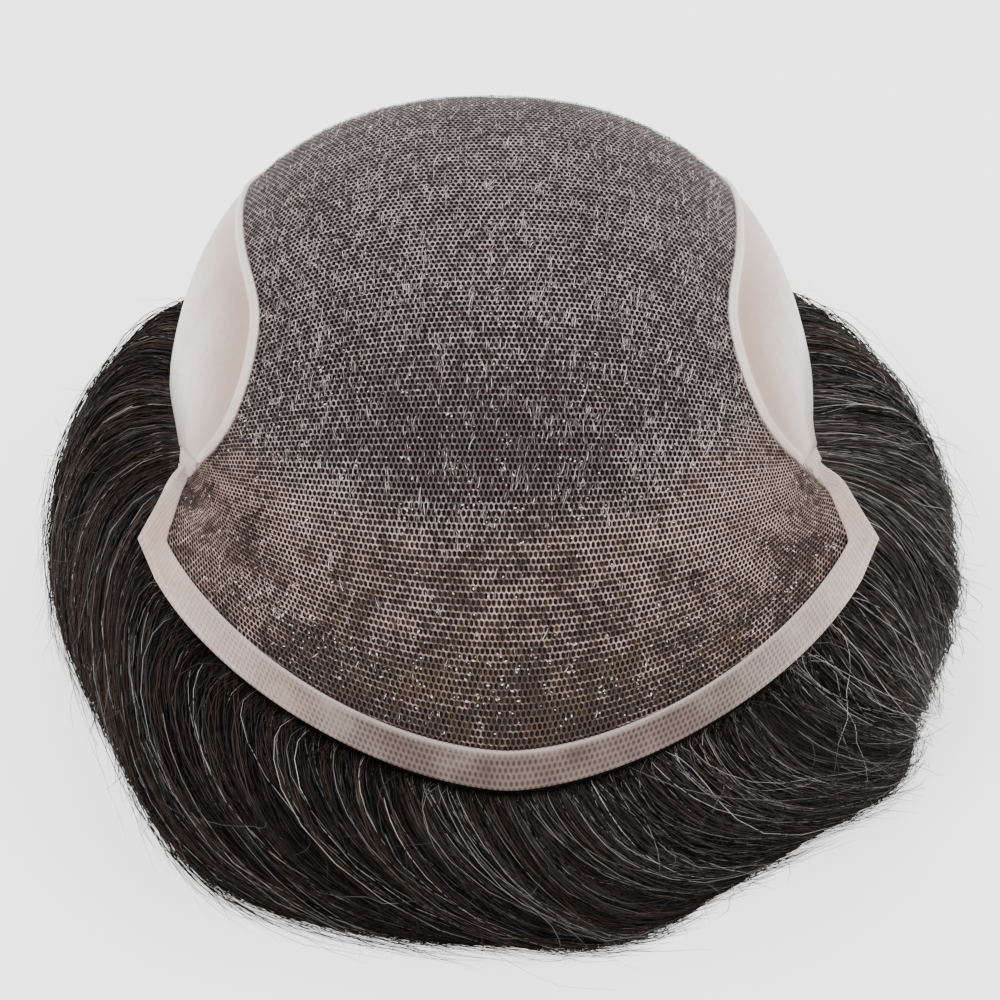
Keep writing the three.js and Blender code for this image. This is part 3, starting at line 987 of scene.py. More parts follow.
@dataclass
class Mesh:
    """Points in millimetres and the faces between them."""

    points: np.ndarray
    quads: np.ndarray = field(default_factory=lambda: np.zeros((0, 4), int))
    triangles: np.ndarray = field(default_factory=lambda: np.zeros((0, 3), int))
    values: dict[str, np.ndarray] = field(default_factory=dict)

    def piece(
        self, name: str, material: bpy.types.Material, slot: Slot, smooth: bool = True
    ) -> bpy.types.Object:
        """Makes the object of the mesh, riding on the part's one body.

        Args:
            name: the piece's name.
            material: its finish.
            slot: not used.
            smooth: whether its faces are shaded as one surface.

        Returns:
            The object.
        """
        kinds = {(): ("FLOAT", "value"), (3,): ("FLOAT_VECTOR", "vector"), (4,): ("FLOAT_COLOR", "color")}
        mesh = bpy.data.meshes.new(name)
        loops = np.concatenate([self.quads.ravel(), self.triangles.ravel()]).astype(np.int32)
        quad_starts = np.arange(len(self.quads)) * 4
        starts = np.concatenate([quad_starts, len(self.quads) * 4 + np.arange(len(self.triangles)) * 3])
        mesh.vertices.add(len(self.points))
        mesh.vertices.foreach_set("co", (self.points * MM).astype(np.float32).ravel())
        mesh.loops.add(len(loops))
        mesh.loops.foreach_set("vertex_index", loops)
        mesh.polygons.add(len(starts))
        mesh.polygons.foreach_set("loop_start", starts.astype(np.int32))
        mesh.polygons.foreach_set("use_smooth", np.full(len(starts), smooth))
        for key, value in self.values.items():
            kind, part = kinds[value.shape[1:]]
            layer = mesh.attributes.new(key, kind, "POINT")
            layer.data.foreach_set(part, value.astype(np.float32).ravel())
        mesh.update(calc_edges=True)
        mesh.validate()
        mesh.materials.append(material)
        made = bpy.data.objects.new(name, mesh)
        bpy.context.scene.collection.objects.link(made)
        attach(made, "root")
        LOG.info("%s: %d triangles", name, 2 * len(self.quads) + len(self.triangles))
        return made


def shell(high: np.ndarray, low: np.ndarray, values: dict[str, np.ndarray] | None = None) -> Mesh:
    """A closed wall between two grids of points of the same size.

    Args:
        high: the outer face, rows of columns of points.
        low: the inner face.
        values: values kept on the points of both faces, by name.

    Returns:
        The mesh.
    """
    rows, columns = high.shape[:2]
    top = np.arange(rows * columns).reshape(rows, columns)
    under = top + rows * columns

    def quads(a: np.ndarray, b: np.ndarray, c: np.ndarray, d: np.ndarray) -> np.ndarray:
        """Faces of four grids of point numbers."""
        return np.stack([a, b, c, d], -1).reshape(-1, 4)

    faces = np.concatenate(
        [
            quads(top[:-1, :-1], top[:-1, 1:], top[1:, 1:], top[1:, :-1]),
            quads(under[:-1, :-1], under[1:, :-1], under[1:, 1:], under[:-1, 1:]),
            quads(top[0, :-1], under[0, :-1], under[0, 1:], top[0, 1:]),
            quads(top[-1, :-1], top[-1, 1:], under[-1, 1:], under[-1, :-1]),
            quads(top[:-1, 0], top[1:, 0], under[1:, 0], under[:-1, 0]),
            quads(top[:-1, -1], under[:-1, -1], under[1:, -1], top[1:, -1]),
        ]
    )
    kept = {
        name: np.concatenate([value.reshape(rows * columns, *value.shape[2:])] * 2)
        for name, value in (values or {}).items()
    }
    return Mesh(np.concatenate([high.reshape(-1, 3), low.reshape(-1, 3)]), faces, values=kept)


def tubes(paths: np.ndarray, radii: np.ndarray, tints: np.ndarray, sides: int = 3) -> Mesh:
    """Closed thin tubes along many paths at once.

    Each ring is a regular polygon square to the path, at the path's point plus the
    radius times the cosine of an angle sideways and its sine upwards.

    Args:
        paths: strands of stations of points.
        radii: a radius for each station.
        tints: a colour for each strand.
        sides: corners of a ring.

    Returns:
        The mesh.
    """
    count, stations = paths.shape[:2]
    tangent = unit(np.gradient(paths, axis=1))
    away = unit(np.cross(tangent, np.array([0.13, 0.21, 1.0])))
    upward = np.cross(away, tangent)
    angle = np.linspace(0, 2 * np.pi, sides, endpoint=False)
    ring = (
        away[:, :, None, :] * np.cos(angle)[None, None, :, None]
        + upward[:, :, None, :] * np.sin(angle)[None, None, :, None]
    )
    points = paths[:, :, None, :] + ring * radii[:, :, None, None]
    index = np.arange(count * stations * sides).reshape(count, stations, sides)
    turned = np.roll(index, -1, axis=2)
    quads = np.stack([index[:, :-1], index[:, 1:], turned[:, 1:], turned[:, :-1]], -1).reshape(-1, 4)
    first, last = index[:, 0], index[:, -1]
    caps = [np.stack([first[:, 0], first[:, k], first[:, k + 1]], -1) for k in range(1, sides - 1)]
    caps += [np.stack([last[:, 0], last[:, k + 1], last[:, k]], -1) for k in range(1, sides - 1)]
    kept = {"tint": np.repeat(tints, stations * sides, axis=0)}
    return Mesh(points.reshape(-1, 3), quads, np.concatenate(caps), kept)


@dataclass
class LaceCap:
    """The lace: a real net of staggered cells over the cap, with knots and stubs of hair."""

    cap: CapForm
    pitch: float = 1.04
    row_pitch: float = 1.32
    point_height: float = 0.86
    thread: float = 0.32
    half_width: float = 90.0
    under: float = 2.6
    knots: int = 3600
    knot_size: tuple[float, float] = (0.08, 0.19)
    stubs: int = 5600
    stub_stations: int = 5
    seed: int = 11

    def zone(self, along: np.ndarray, across: np.ndarray) -> np.ndarray:
        """0 at the crown and 1 towards the hairline, past a soft bow across the cap."""
        bow = 0.288 + 0.27 * across**2 + 0.02 * across + 0.006 * np.sin(across * 17.0)
        return ease(-0.025, 0.025, bow - along)

    def tone(self, along: np.ndarray, across: np.ndarray) -> np.ndarray:
        """Lightness of the threads: an even value and soft bumps from the table of tones."""
        a, c, far, wide, amount = NET_TONES.T
        gap = ((along[..., None] - a) / far) ** 2 + ((across[..., None] - c) / wide) ** 2
        return 0.5 + (amount * np.exp(-gap)).sum(-1)

    def place(self, u: np.ndarray, v: np.ndarray) -> tuple[np.ndarray, np.ndarray]:
        """Turns lengths across and along the net into across and along of the cap.

        Args:
            u: distance right of the middle in the net's own measure.
            v: distance behind the front edge over the middle.

        Returns:
            along and across.
        """
        along = self.cap.along_middle(v)
        return along, self.cap.across_at(along, np.clip(u / self.half_width, -1, 1))

    def ripple(self, along: np.ndarray, across: np.ndarray) -> np.ndarray:
        """Soft wrinkles of the net towards the hairline: two slanting waves."""
        wave = np.sin(along * 60 + across * 23) + 0.7 * np.sin(along * 37 - across * 41 + 1.3)
        return 0.16 * wave * self.zone(along, across) * ease(0.06, 0.2, along)

    def net(self) -> Mesh:
        """The net as flat threads between six-cornered cells.

        Each cell keeps the six corners of its hole. Threads are the four-cornered faces
        between the holes of two neighbours, and three threads meet in a triangle.

        Returns:
            The mesh, with the zone, the tone and the place in the net of each point.
        """
        cap = self.cap
        rows = int(cap.middle_arc[-1] / self.row_pitch) + 2
        columns = int(2 * self.half_width / self.pitch) + 2
        row = np.arange(rows)[:, None]
        column = np.arange(columns)[None, :]
        u = (column - columns / 2 + 0.5 * (row % 2)) * self.pitch
        v = row * self.row_pitch + 0 * column
        along, across = self.place(u, v)
        inside = np.abs(u) / self.half_width < cap.seam(along) + self.under / self.half_width
        inside &= along > cap.band_along(across) - self.under / cap.middle_arc[-1]
        inside &= v < cap.middle_arc[-1] - 0.6
        low_point = self.row_pitch - self.point_height
        side, flank, tip = self.pitch / 2, low_point, self.point_height
        hole_u = np.array([0, side, side, 0, -side, -side])
        hole_v = np.array([tip, flank, -flank, -tip, -flank, flank])
        half = self.thread / 2
        narrow = np.array([0, half, half, 0, -half, -half])
        short = np.array([1.15, 0.58, -0.58, -1.15, -0.58, 0.58]) * half
        corner_u = u[..., None] + hole_u - narrow
        corner_v = v[..., None] + hole_v - short
        corner_along, corner_across = self.place(corner_u, np.clip(corner_v, 0, cap.middle_arc[-1]))
        lift = self.ripple(corner_along, corner_across)
        points = cap.lifted(corner_along, corner_across, lift)
        index = np.arange(points[..., 0].size).reshape(rows, columns, 6)
        faces, triangles = self.threads(index, inside)
        used = np.unique(np.concatenate([faces.ravel(), triangles.ravel()]))
        renumber = np.zeros(index.size, int)
        renumber[used] = np.arange(len(used))
        flat_along, flat_across = corner_along.ravel()[used], corner_across.ravel()[used]
        comb = np.stack([corner_u, corner_v, 0 * corner_v], -1).reshape(-1, 3)[used]
        bow = np.exp(-(((flat_along - 0.12) / 0.035) ** 2)) * (1 - ease(0.45, 0.8, np.abs(flat_across)))
        values = {
            "zone": self.zone(flat_along, flat_across),
            "tone": self.tone(flat_along, flat_across),
            "warm": bow,
            "comb": comb,
            "tip": np.broadcast_to([1.0, 0.0, 0.0, 1.0, 0.0, 0.0], corner_u.shape).ravel()[used],
        }
        return Mesh(points.reshape(-1, 3)[used], renumber[faces], renumber[triangles], values)

    def threads(self, index: np.ndarray, inside: np.ndarray) -> tuple[np.ndarray, np.ndarray]:
        """Point numbers of the net's faces, where all the cells they join are inside.

        Args:
            index: point numbers by row, column and corner.
            inside: whether a cell belongs to the net.

        Returns:
            Four-cornered and three-cornered faces.
        """
        quads, triangles = [], []
        for parity in (0, 1):
            rows = np.arange(parity, index.shape[0] - 1, 2)
            here = np.arange(1, index.shape[1] - 1)
            grid = np.ix_(rows, here)
            beside = np.ix_(rows, here + 1)
            up_left = np.ix_(rows + 1, here - 1 + parity)
            up_right = np.ix_(rows + 1, here + parity)
            a, r, l, q = index[grid], index[beside], index[up_left], index[up_right]
            ok, ok_r, ok_l, ok_q = inside[grid], inside[beside], inside[up_left], inside[up_right]
            quads.append(np.stack([a[..., 2], r[..., 4], r[..., 5], a[..., 1]], -1)[ok & ok_r])
            quads.append(np.stack([a[..., 0], a[..., 1], q[..., 3], q[..., 4]], -1)[ok & ok_q])
            quads.append(np.stack([a[..., 5], a[..., 0], l[..., 2], l[..., 3]], -1)[ok & ok_l])
            triangles.append(np.stack([a[..., 0], q[..., 4], l[..., 2]], -1)[ok & ok_q & ok_l])
            triangles.append(np.stack([a[..., 1], r[..., 5], q[..., 3]], -1)[ok & ok_r & ok_q])
        return np.concatenate(quads), np.concatenate(triangles)

    def spots(
        self, count: int, chance: Chance, maker: np.random.Generator
    ) -> tuple[np.ndarray, np.ndarray]:
        """Random spots of the lace, as many as asked for at most, kept by a chance.

        Args:
            count: spots tried.
            chance: function of along and across that gives how likely a spot is kept.
            maker: source of the numbers.

        Returns:
            along and across of the spots.
        """
        along = maker.uniform(0.04, 0.985, count)
        share = maker.uniform(-1, 1, count)
        across = self.cap.across_at(along, share)
        keep = np.abs(share) < self.cap.seam(along, 1.2)
        keep &= along > self.cap.band_along(across) + 0.008
        keep &= maker.uniform(0, 1, count) < chance(along, across)
        return along[keep], across[keep]

    def specks(self) -> Mesh:
        """Knots as small squashed octahedra on the threads.

        Returns:
            The mesh.
        """
        maker = np.random.default_rng(self.seed)

        def chance(along: np.ndarray, across: np.ndarray) -> np.ndarray:
            """Thicker in a bow behind the hairline and over the crown."""
            zone = self.zone(along, across)
            bow = np.exp(-(((along - 0.125) / 0.03) ** 2)) * (np.abs(across) < 0.7)
            rim = np.exp(-(((along - 0.3 - 0.27 * across**2) / 0.035) ** 2))
            wave = np.sin(along * 96 + 4 * np.sin(across * 13))
            wave = wave * np.sin(across * 37 + 3 * np.sin(along * 45))
            return 0.05 + 0.8 * ease(-0.2, 0.6, wave) * (bow + 0.6 * rim + 0.6 * (1 - zone) + 0.12)

        along, across = self.spots(self.knots * 4, chance, maker)
        along, across = along[: self.knots], across[: self.knots]
        centre = self.cap.lifted(along, across, np.full(along.shape, 0.12))
        normal = self.cap.normal(along, across)
        side = unit(np.cross(normal, np.array([0.2, 1.0, 0.1])))
        turn = maker.uniform(0, np.pi, len(along))[:, None]
        long_way = side * np.cos(turn) + np.cross(normal, side) * np.sin(turn)
        short_way = np.cross(normal, long_way)
        size = maker.uniform(*self.knot_size, len(along))[:, None]
        length = size * maker.uniform(0.9, 2.4, len(along))[:, None]
        arms = [long_way * length, short_way * size, -long_way * length, -short_way * size]
        arms += [normal * size * 0.8, -normal * size * 0.8]
        corners = centre[:, None] + np.stack(arms, 1)
        base = (np.arange(len(along)) * 6)[:, None, None]
        face = np.array(
            [(0, 1, 4), (1, 2, 4), (2, 3, 4), (3, 0, 4), (1, 0, 5), (2, 1, 5), (3, 2, 5), (0, 3, 5)]
        )
        return Mesh(corners.reshape(-1, 3), triangles=(base + face[None]).reshape(-1, 3))

    def hairs(self) -> Mesh:
        """Short hairs between net and roots, combed along the cap.

        Each is a bow in the cap's surface that rises and sinks with half a sine wave.

        Returns:
            The mesh.
        """
        maker = np.random.default_rng(self.seed + 1)

        def chance(along: np.ndarray, across: np.ndarray) -> np.ndarray:
            """Mostly over the crown, in loose clusters."""
            wave = np.sin(along * 71 + 5 * np.sin(across * 9))
            wave = wave * np.sin(across * 23 + 4 * np.sin(along * 31))
            thin = 1 - 0.85 * ease(0.5, 0.85, along)
            return 0.05 + (0.45 + 0.44 * wave) * thin * (1 - self.zone(along, across))

        along, across = self.spots(self.stubs * 4, chance, maker)
        along, across = along[: self.stubs], across[: self.stubs]
        count = len(along)
        share = np.linspace(0, 1, self.stub_stations)[None, :]
        length = (0.7 + maker.gamma(2.0, 0.65, count))[:, None] / self.cap.long_way
        slant = maker.normal(0.12, 0.16, count)[:, None]
        bow = maker.normal(0.0, 0.12, count)[:, None]
        path_along = np.clip(along[:, None] + length * share, 0, 0.99)
        path_across = across[:, None] + length * (slant * share + bow * share * (1 - share)) * 2.6
        lift = -0.3 + 0.5 * np.sin(np.pi * share) * maker.uniform(0.3, 1.2, count)[:, None]
        paths = self.cap.lifted(path_along, path_across, lift)
        thick = maker.uniform(0.05, 0.1, count)[:, None] * (1 - 0.6 * share**3)
        return tubes(paths, thick + 0 * share, HairTints().stubs(maker.uniform(0, 1, count)))

    def build(self) -> None:
        """Makes the net, its knots and its short hairs."""
        net = self.net().piece("lace_net", LaceThread().build(), Slot.LACE, smooth=True)
        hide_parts("lace_cap")
        self.specks().piece("lace_knots", KnotSpeck().build(), Slot.LACE, smooth=False)
        self.hairs().piece("lace_short_hairs", HairStrand().build(), Slot.ROOTS)


@dataclass
class RootMat:
    """The dark layer of knotted roots right under the net."""

    cap: CapForm
    skirt: SkirtForm
    lace: LaceCap
    high: float = -0.6
    crown_rise: float = 0.25
    rough: float = 0.15
    low: float = -4.5
    inset: float = 4.5
    steps: int = 84

    def build(self) -> None:
        """Makes the mat: a square grid rounded to the loop on which the hair hangs."""
        even = np.linspace(-1, 1, self.steps + 1)
        back, right = np.meshgrid(even, even, indexing="ij")
        turn = np.degrees(np.arctan2(right, -back))
        size = np.maximum(np.abs(right), np.abs(back))
        along, across = self.skirt.loop(turn, self.inset, size)
        rough = self.rough * np.sin(across * 55 + 3 * np.sin(along * 21)) * np.sin(along * 33 + across * 9)
        zone = self.lace.zone(along, across)
        high = self.cap.lifted(along, across, self.high + self.crown_rise * (1 - zone) + rough)
        low = self.cap.lifted(along, across, np.full(along.shape, self.low))
        length, _ = self.cap.measure(along, across)
        cell = np.stack([length, along * self.cap.long_way, 0 * along], -1)
        values = {"cell": cell, "zone": zone}
        piece = shell(high, low, values).piece("hair_root_mat", HairRoots().build(), Slot.ROOTS)
        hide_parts("hair_mat")


@dataclass
class SidePanel:
    """A thin-skin side panel with its raised rim along the lace."""

    cap: CapForm
    side: int
    rise: float = 0.2
    rim_width: float = 1.6
    rim_rise: float = 0.5
    wall: float = 0.7
    gap: float = -1.8
    stations: int = 90

    def build(self) -> None:
        """Makes the panel.

        Stations run from the notch to the back edge. Across a station the spot goes
        from the seam to the side edge, and the rim is a smooth bump beside the seam.
        """
        cap = self.cap
        reach = self.gap / 220
        seam_along = np.linspace(cap.notch_seam + reach, 1, self.stations)[:, None]
        edge_along = np.linspace(cap.notch_edge + 0.6 * reach, 1, self.stations)[:, None]
        seam_across = cap.across_at(seam_along, cap.seam(seam_along))
        width = cap.cover(seam_along)
        rim = np.minimum(self.rim_width / width, 0.4)
        inner = np.array([0, 0.12, 0.35, 0.6, 0.85, 1.1, 1.35, 1.6])[None, :] * rim
        outer = 1.6 * rim + (1 - 1.6 * rim) * np.linspace(0, 1, 15)[None, 1:]
        share = np.concatenate([inner, outer], 1)
        along = seam_along * (1 - share) + edge_along * share
        across = seam_across * (1 - share) + share
        bump = 1 - ease(0.75, 1.5, share / rim)
        start = ease(-0.02, 0.3, share / rim)
        edge = 1 - 0.6 * ease(0.96, 1.0, share)
        tuck = ease(-0.2, 3.0, np.arange(self.stations))[:, None]
        high = (self.rise + self.rim_rise * bump * (0.4 + 0.6 * start)) * edge * tuck - 0.3 * (1 - tuck)
        low = np.full(share.shape, self.rise - self.wall)
        notch = 1 - ease(0.0, 0.26, np.linspace(0, 1, self.stations))[:, None] + 0 * share
        length, distance = cap.measure(along, across)
        values = {
            # Painted highlight mask of the raised rim beside the seam and of the outer edge.
            "rim": bump * 0.9 + 0.35 * ease(0.975, 1.0, share),
            "inward": 1 - share**0.8,
            "notch": notch,
            "cell": np.stack([length, distance, 0 * length], -1),
        }
        across = across * self.side
        if self.side < 0:
            along, across, high, low = (a[:, ::-1] for a in (along, across, high, low))
            values = {name: value[:, ::-1] for name, value in values.items()}
        top, under = cap.lifted(along, across, high), cap.lifted(along, across, low)
        name = "pu_panel_right" if self.side > 0 else "pu_panel_left"
        piece = shell(top, under, values).piece(f"{name}_film", ThinSkin().build(), Slot.SKIN)
        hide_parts(name)


@dataclass
class FrontBand:
    """The folded band along the front hairline, pointed at both temples."""

    cap: CapForm
    lace: LaceCap
    rise: float = 0.6
    wall: float = 1.0
    strip_end: float = 1.25
    steps: tuple[int, int, int] = (26, 14, 120)

    def corner(self) -> tuple[float, float]:
        """The band's inner corner at the temple, where its front meets its strip.

        Returns:
            along and across.
        """
        cap = self.cap
        start = float(places_at(cap.along_lengths[-1:], np.array([[cap.band_width]]))[0, 0])
        share = 1 - cap.band_width / cap.arc_from(np.array(start))
        across = float(cap.across_at(np.array(start), share))
        return float(cap.band_along(np.array(across))), across

    def edges(self) -> tuple[np.ndarray, np.ndarray]:
        """Outer and inner edge spots, from the right notch round to the left.

        Returns:
            Two lists of along and across, in the last axis.
        """
        cap = self.cap
        strip, turn, front = self.steps
        corner_along, corner_across = self.corner()
        end = corner_along * self.strip_end
        share = np.linspace(0, 1, strip + 1)
        inner_along = cap.notch_seam + (end - cap.notch_seam) * share
        inner = np.stack([inner_along, cap.across_at(inner_along, cap.seam(inner_along))], -1)
        outer = np.stack([cap.notch_edge + (end - cap.notch_edge) * share, 1 + 0 * share], -1)
        share = np.linspace(0, 1, turn + 1)[1:, None]
        corner = np.array([corner_along, corner_across])
        inner_turn = inner[-1] * (1 - share) + corner * share
        outer_turn = np.concatenate([end * (1 - share), 1 + 0 * share], 1)
        across = corner_across * np.linspace(1, -1, front + 1)[1:-1]
        inner_front = np.stack([cap.band_along(across), across], -1)
        outer_front = np.stack([0 * across, across], -1)
        right_inner = np.concatenate([inner, inner_turn])
        right_outer = np.concatenate([outer, outer_turn])
        mirror = np.array([1, -1])
        all_inner = np.concatenate([right_inner, inner_front, (right_inner * mirror)[::-1]])
        all_outer = np.concatenate([right_outer, outer_front, (right_outer * mirror)[::-1]])
        return all_outer, all_inner

    def build(self) -> None:
        """Makes the band: straight from its outer to its inner edge, with rounded folds."""
        cap = self.cap
        outer, inner = self.edges()
        share = np.array([0, 0.03, 0.09, 0.2, 0.35, 0.5, 0.65, 0.8, 0.91, 0.97, 1.0])[None, :]
        spot = outer[:, None] * (1 - share[..., None]) + inner[:, None] * share[..., None]
        along, across = spot[..., 0], spot[..., 1]
        fold = ease(0.86, 0.99, share) + 0 * along
        rounded = (ease(-0.01, 0.09, share) * ease(-0.01, 0.06, 1 - share)) + 0 * along
        station = np.minimum(np.arange(len(along)), len(along) - 1 - np.arange(len(along)))[:, None]
        taper = 0.1 + 0.9 * ease(0, 7, station)
        high = -0.1 + ((self.rise + 0.1) * rounded + 0.08 * fold * rounded) * taper
        low = np.full(along.shape, -self.wall)
        length, distance = cap.measure(along, across)
        cell = [length / self.lace.pitch, distance / (2 * self.lace.row_pitch), 0 * length]
        values = {
            "cell": np.stack(cell, -1),
            "middle": 1 - ease(0.3, 0.9, np.abs(across - 0.05)),
            "fold": fold,
            "notch": 1 - ease(2, self.steps[0], station) + 0 * along,
        }
        top, under = cap.lifted(along, across, high), cap.lifted(along, across, low)
        piece = shell(top, under, values).piece("front_band_folded", FoldedLace().build(), Slot.BAND)
        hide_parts("front_band")


@dataclass(frozen=True)
class StrandSide:
    """One side's loose strands: how many, and between which turns in degrees they start."""

    name: str
    count: int
    start: float
    end: float


@dataclass
class HairSkirt:
    """The hair round the cap: a body in locks and thousands of loose strands over it."""

    skirt: SkirtForm
    quarters: tuple[tuple[str, float, float], ...] = (
        ("hair_front", -40, 40),
        ("hair_right", 40, 140),
        ("hair_back", 140, 220),
        ("hair_left", 220, 320),
    )
    sides: tuple[StrandSide, ...] = (
        StrandSide("hair_strands_front", 2500, -45, 45),
        StrandSide("hair_strands_right", 2500, 40, 140),
        StrandSide("hair_strands_back", 1500, 135, 225),
        StrandSide("hair_strands_left", 2600, 215, 322),
    )
    lock_depth: float = 1.5
    cuff_inset: float = 5.5
    cuff_depths: tuple[float, float] = (1.3, 2.8)
    column_turn: float = 0.8
    rows: int = 26
    stations: int = 11
    crowding: float = 1.3
    clump_turn: float = 3.4
    rooted: float = 0.7
    wild: float = 0.28
    loose: float = 0.08
    radius: float = 0.11
    grey_radius: float = 0.075
    wild_thinness: float = 0.6
    ground: float = 0.12
    seed: int = 5

    def flow(self, turn: np.ndarray, share: np.ndarray) -> np.ndarray:
        """Numbers that follow the strands: the root's place round the rim and the way down."""
        root = self.skirt.root_of(turn, share)
        return np.stack([root * 1.7, share * 20, 0 * root], -1)

    def relief(self, turn: np.ndarray, share: np.ndarray) -> np.ndarray:
        """Locks as three waves of the strands' roots, wide, middling and fine.

        Args:
            turn: bearings in degrees.
            share: way down from the cap's edge.

        Returns:
            Heights from about -1 to 1.
        """
        root = self.skirt.root_of(turn, share)
        wide = np.sin(np.radians(root * 31) + 2.1 * np.sin(np.radians(root * 7)) + share * 1.3)
        mid = np.sin(np.radians(root * 68) + 1.7 * np.sin(np.radians(root * 11)) - share * 2.1)
        fine = np.sin(np.radians(root * 151) + share * 3.0)
        return 0.55 * wide + 0.35 * mid + 0.2 * fine

    def lift(self, turn: np.ndarray, share: np.ndarray) -> np.ndarray:
        """Height of the locks over the smooth skirt, fading at the rim and low down."""
        fade = ease(0.0, 0.3, share) * (1 - 0.6 * ease(0.8, 1, share))
        return self.lock_depth * (self.relief(turn, share) + 0.3) * fade

    def cuff(self, turn: np.ndarray, depth: float) -> np.ndarray:
        """One row of points under the cap's edge, at a depth below the scalp side."""
        along, across = self.skirt.loop(turn, self.cuff_inset, 1.0)
        return self.skirt.cap.lifted(along, across, np.full(turn.shape, -depth))[None]

    def body(self) -> None:
        """Makes the four quarters of the hair's body as closed shells."""
        finish = HairMass().build()
        for name, start, end in self.quarters:
            columns = int(round((end - start) / self.column_turn))
            turn = np.linspace(end, start, columns + 1)[None, :]
            share = np.linspace(0, 1, self.rows)[:, None] ** 0.9
            turn, share = np.broadcast_arrays(turn, share)
            high = self.skirt.point(turn, share, 0.0, self.lift(turn, share))
            low = self.skirt.point(turn, share, 1.0)
            high[..., 2] = np.maximum(high[..., 2], 0.0)
            low[..., 2] = np.maximum(low[..., 2], 0.0)
            # The crest value is the mask of the body's painted shade: 1 on the lock crests, 0 in the
            # hollows between them.
            values = {"flow": self.flow(turn, share), "crest_light": ease(-0.6, 0.5, self.relief(turn, share))}
            values = {key: np.concatenate([value[:1], value]) for key, value in values.items()}
            high = np.concatenate([self.cuff(turn[0], self.cuff_depths[0]), high])
            low = np.concatenate([self.cuff(turn[0], self.cuff_depths[1]), low])
            piece = shell(high, low, values).piece(f"{name}_body", finish, Slot.HAIR)
            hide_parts(name)

    def paths(
        self, root: np.ndarray, maker: np.random.Generator
    ) -> tuple[np.ndarray, np.ndarray, np.ndarray]:
        """Courses of strands over the body.

        A strand's turn is its root plus its drift, a wave and a pull towards its clump,
        and its lift rises from the rim to a height of its own. A wild strand is short
        and bends away from the body, and a loose one strays from its clump.

        Args:
            root: a turn in degrees for each strand, in a column.
            maker: source of the numbers.

        Returns:
            Stations of points, the stations' shares, and whether each strand is wild.
        """
        one = root.shape
        share = np.linspace(0, 1, self.stations)[None, :] ** self.crowding
        clump = np.round(root / self.clump_turn + maker.normal(0, 0.25, one)) * self.clump_turn
        clump = clump + 1.1 * np.sin(clump * 2.3)
        first = np.where(maker.uniform(0, 1, one) < self.rooted, 0.0, maker.uniform(0.05, 0.45, one))
        wild = maker.uniform(0, 1, one) < self.wild
        first = np.where(wild, maker.uniform(0.3, 0.92, one), first)
        length = maker.beta(3.0, 1.3, one)
        last = first + (1.0 - first) * np.clip(0.45 + 0.6 * length, 0, 1)
        last = np.where(wild, np.minimum(first + maker.uniform(0.04, 0.3, one), 1.0), last)
        way = first + (last - first) * share
        wave = maker.normal(0, 1.1, one) * np.sin(np.pi * way * maker.uniform(0.8, 2.2, one))
        loose = maker.uniform(0, 1, one) < self.loose
        stray = maker.normal(0, 1.6, one) * share**2 * np.where(loose, 3.5, 1.0)
        pull = (clump - root) * np.where(loose, 0.1, 0.8) * ease(0.0, 0.9, way)
        turn = self.skirt.drifted(root, way) + pull + wave + stray
        height = maker.gamma(1.6, 0.38, one) + np.where(loose, maker.uniform(0.5, 2.5, one), 0.0)
        frizz = np.where(wild, 0.6 + maker.gamma(2.0, 1.1, one), 0.0) * share**1.5
        turn = turn + np.where(wild, maker.normal(0.0, 3.0, one), 0.0) * share**2
        height = height * ease(0.0, 0.35, way) * (1.05 - 0.4 * share)
        lift = self.lift(turn, way) + 0.15 + height + frizz
        points = self.skirt.point(turn, way, 0.0, lift)
        points[..., 2] = np.maximum(points[..., 2], self.ground)
        return points, share, wild

    def strands(self, side: StrandSide, number: int, finish: bpy.types.Material) -> None:
        """Makes loose strands that start under the rim between two turns.

        Args:
            side: the piece's name, its count and the turns between which the strands start.
            number: the side's number, from 1, which sets its random numbers.
            finish: their material.
        """
        maker = np.random.default_rng(self.seed + number)
        root = maker.uniform(side.start, side.end, side.count)[:, None]
        points, share, wild = self.paths(root, maker)
        tone = maker.uniform(0, 1, side.count)
        light = tone > 1 - self.light_share(root[:, 0])
        radius = np.where(light, self.grey_radius, self.radius)[:, None]
        radius = radius * maker.uniform(0.75, 1.2, root.shape) * np.where(wild, self.wild_thinness, 1.0)
        tints = HairTints().strands(tone, light, root[:, 0], maker)
        tubes(points, radius * (1 - 0.75 * share**4), tints).piece(side.name, finish, Slot.HAIR)

    def light_share(self, root: np.ndarray) -> np.ndarray:
        """Share of grey strands: a low value and a broad swell round the right side."""
        return 0.075 + 0.2 * swell(root, 85, 65)

    def build(self) -> None:
        """Makes the body and the strands of each side."""
        self.body()
        finish = HairStrand().build()
        for number, side in enumerate(self.sides, 1):
            self.strands(side, number, finish)


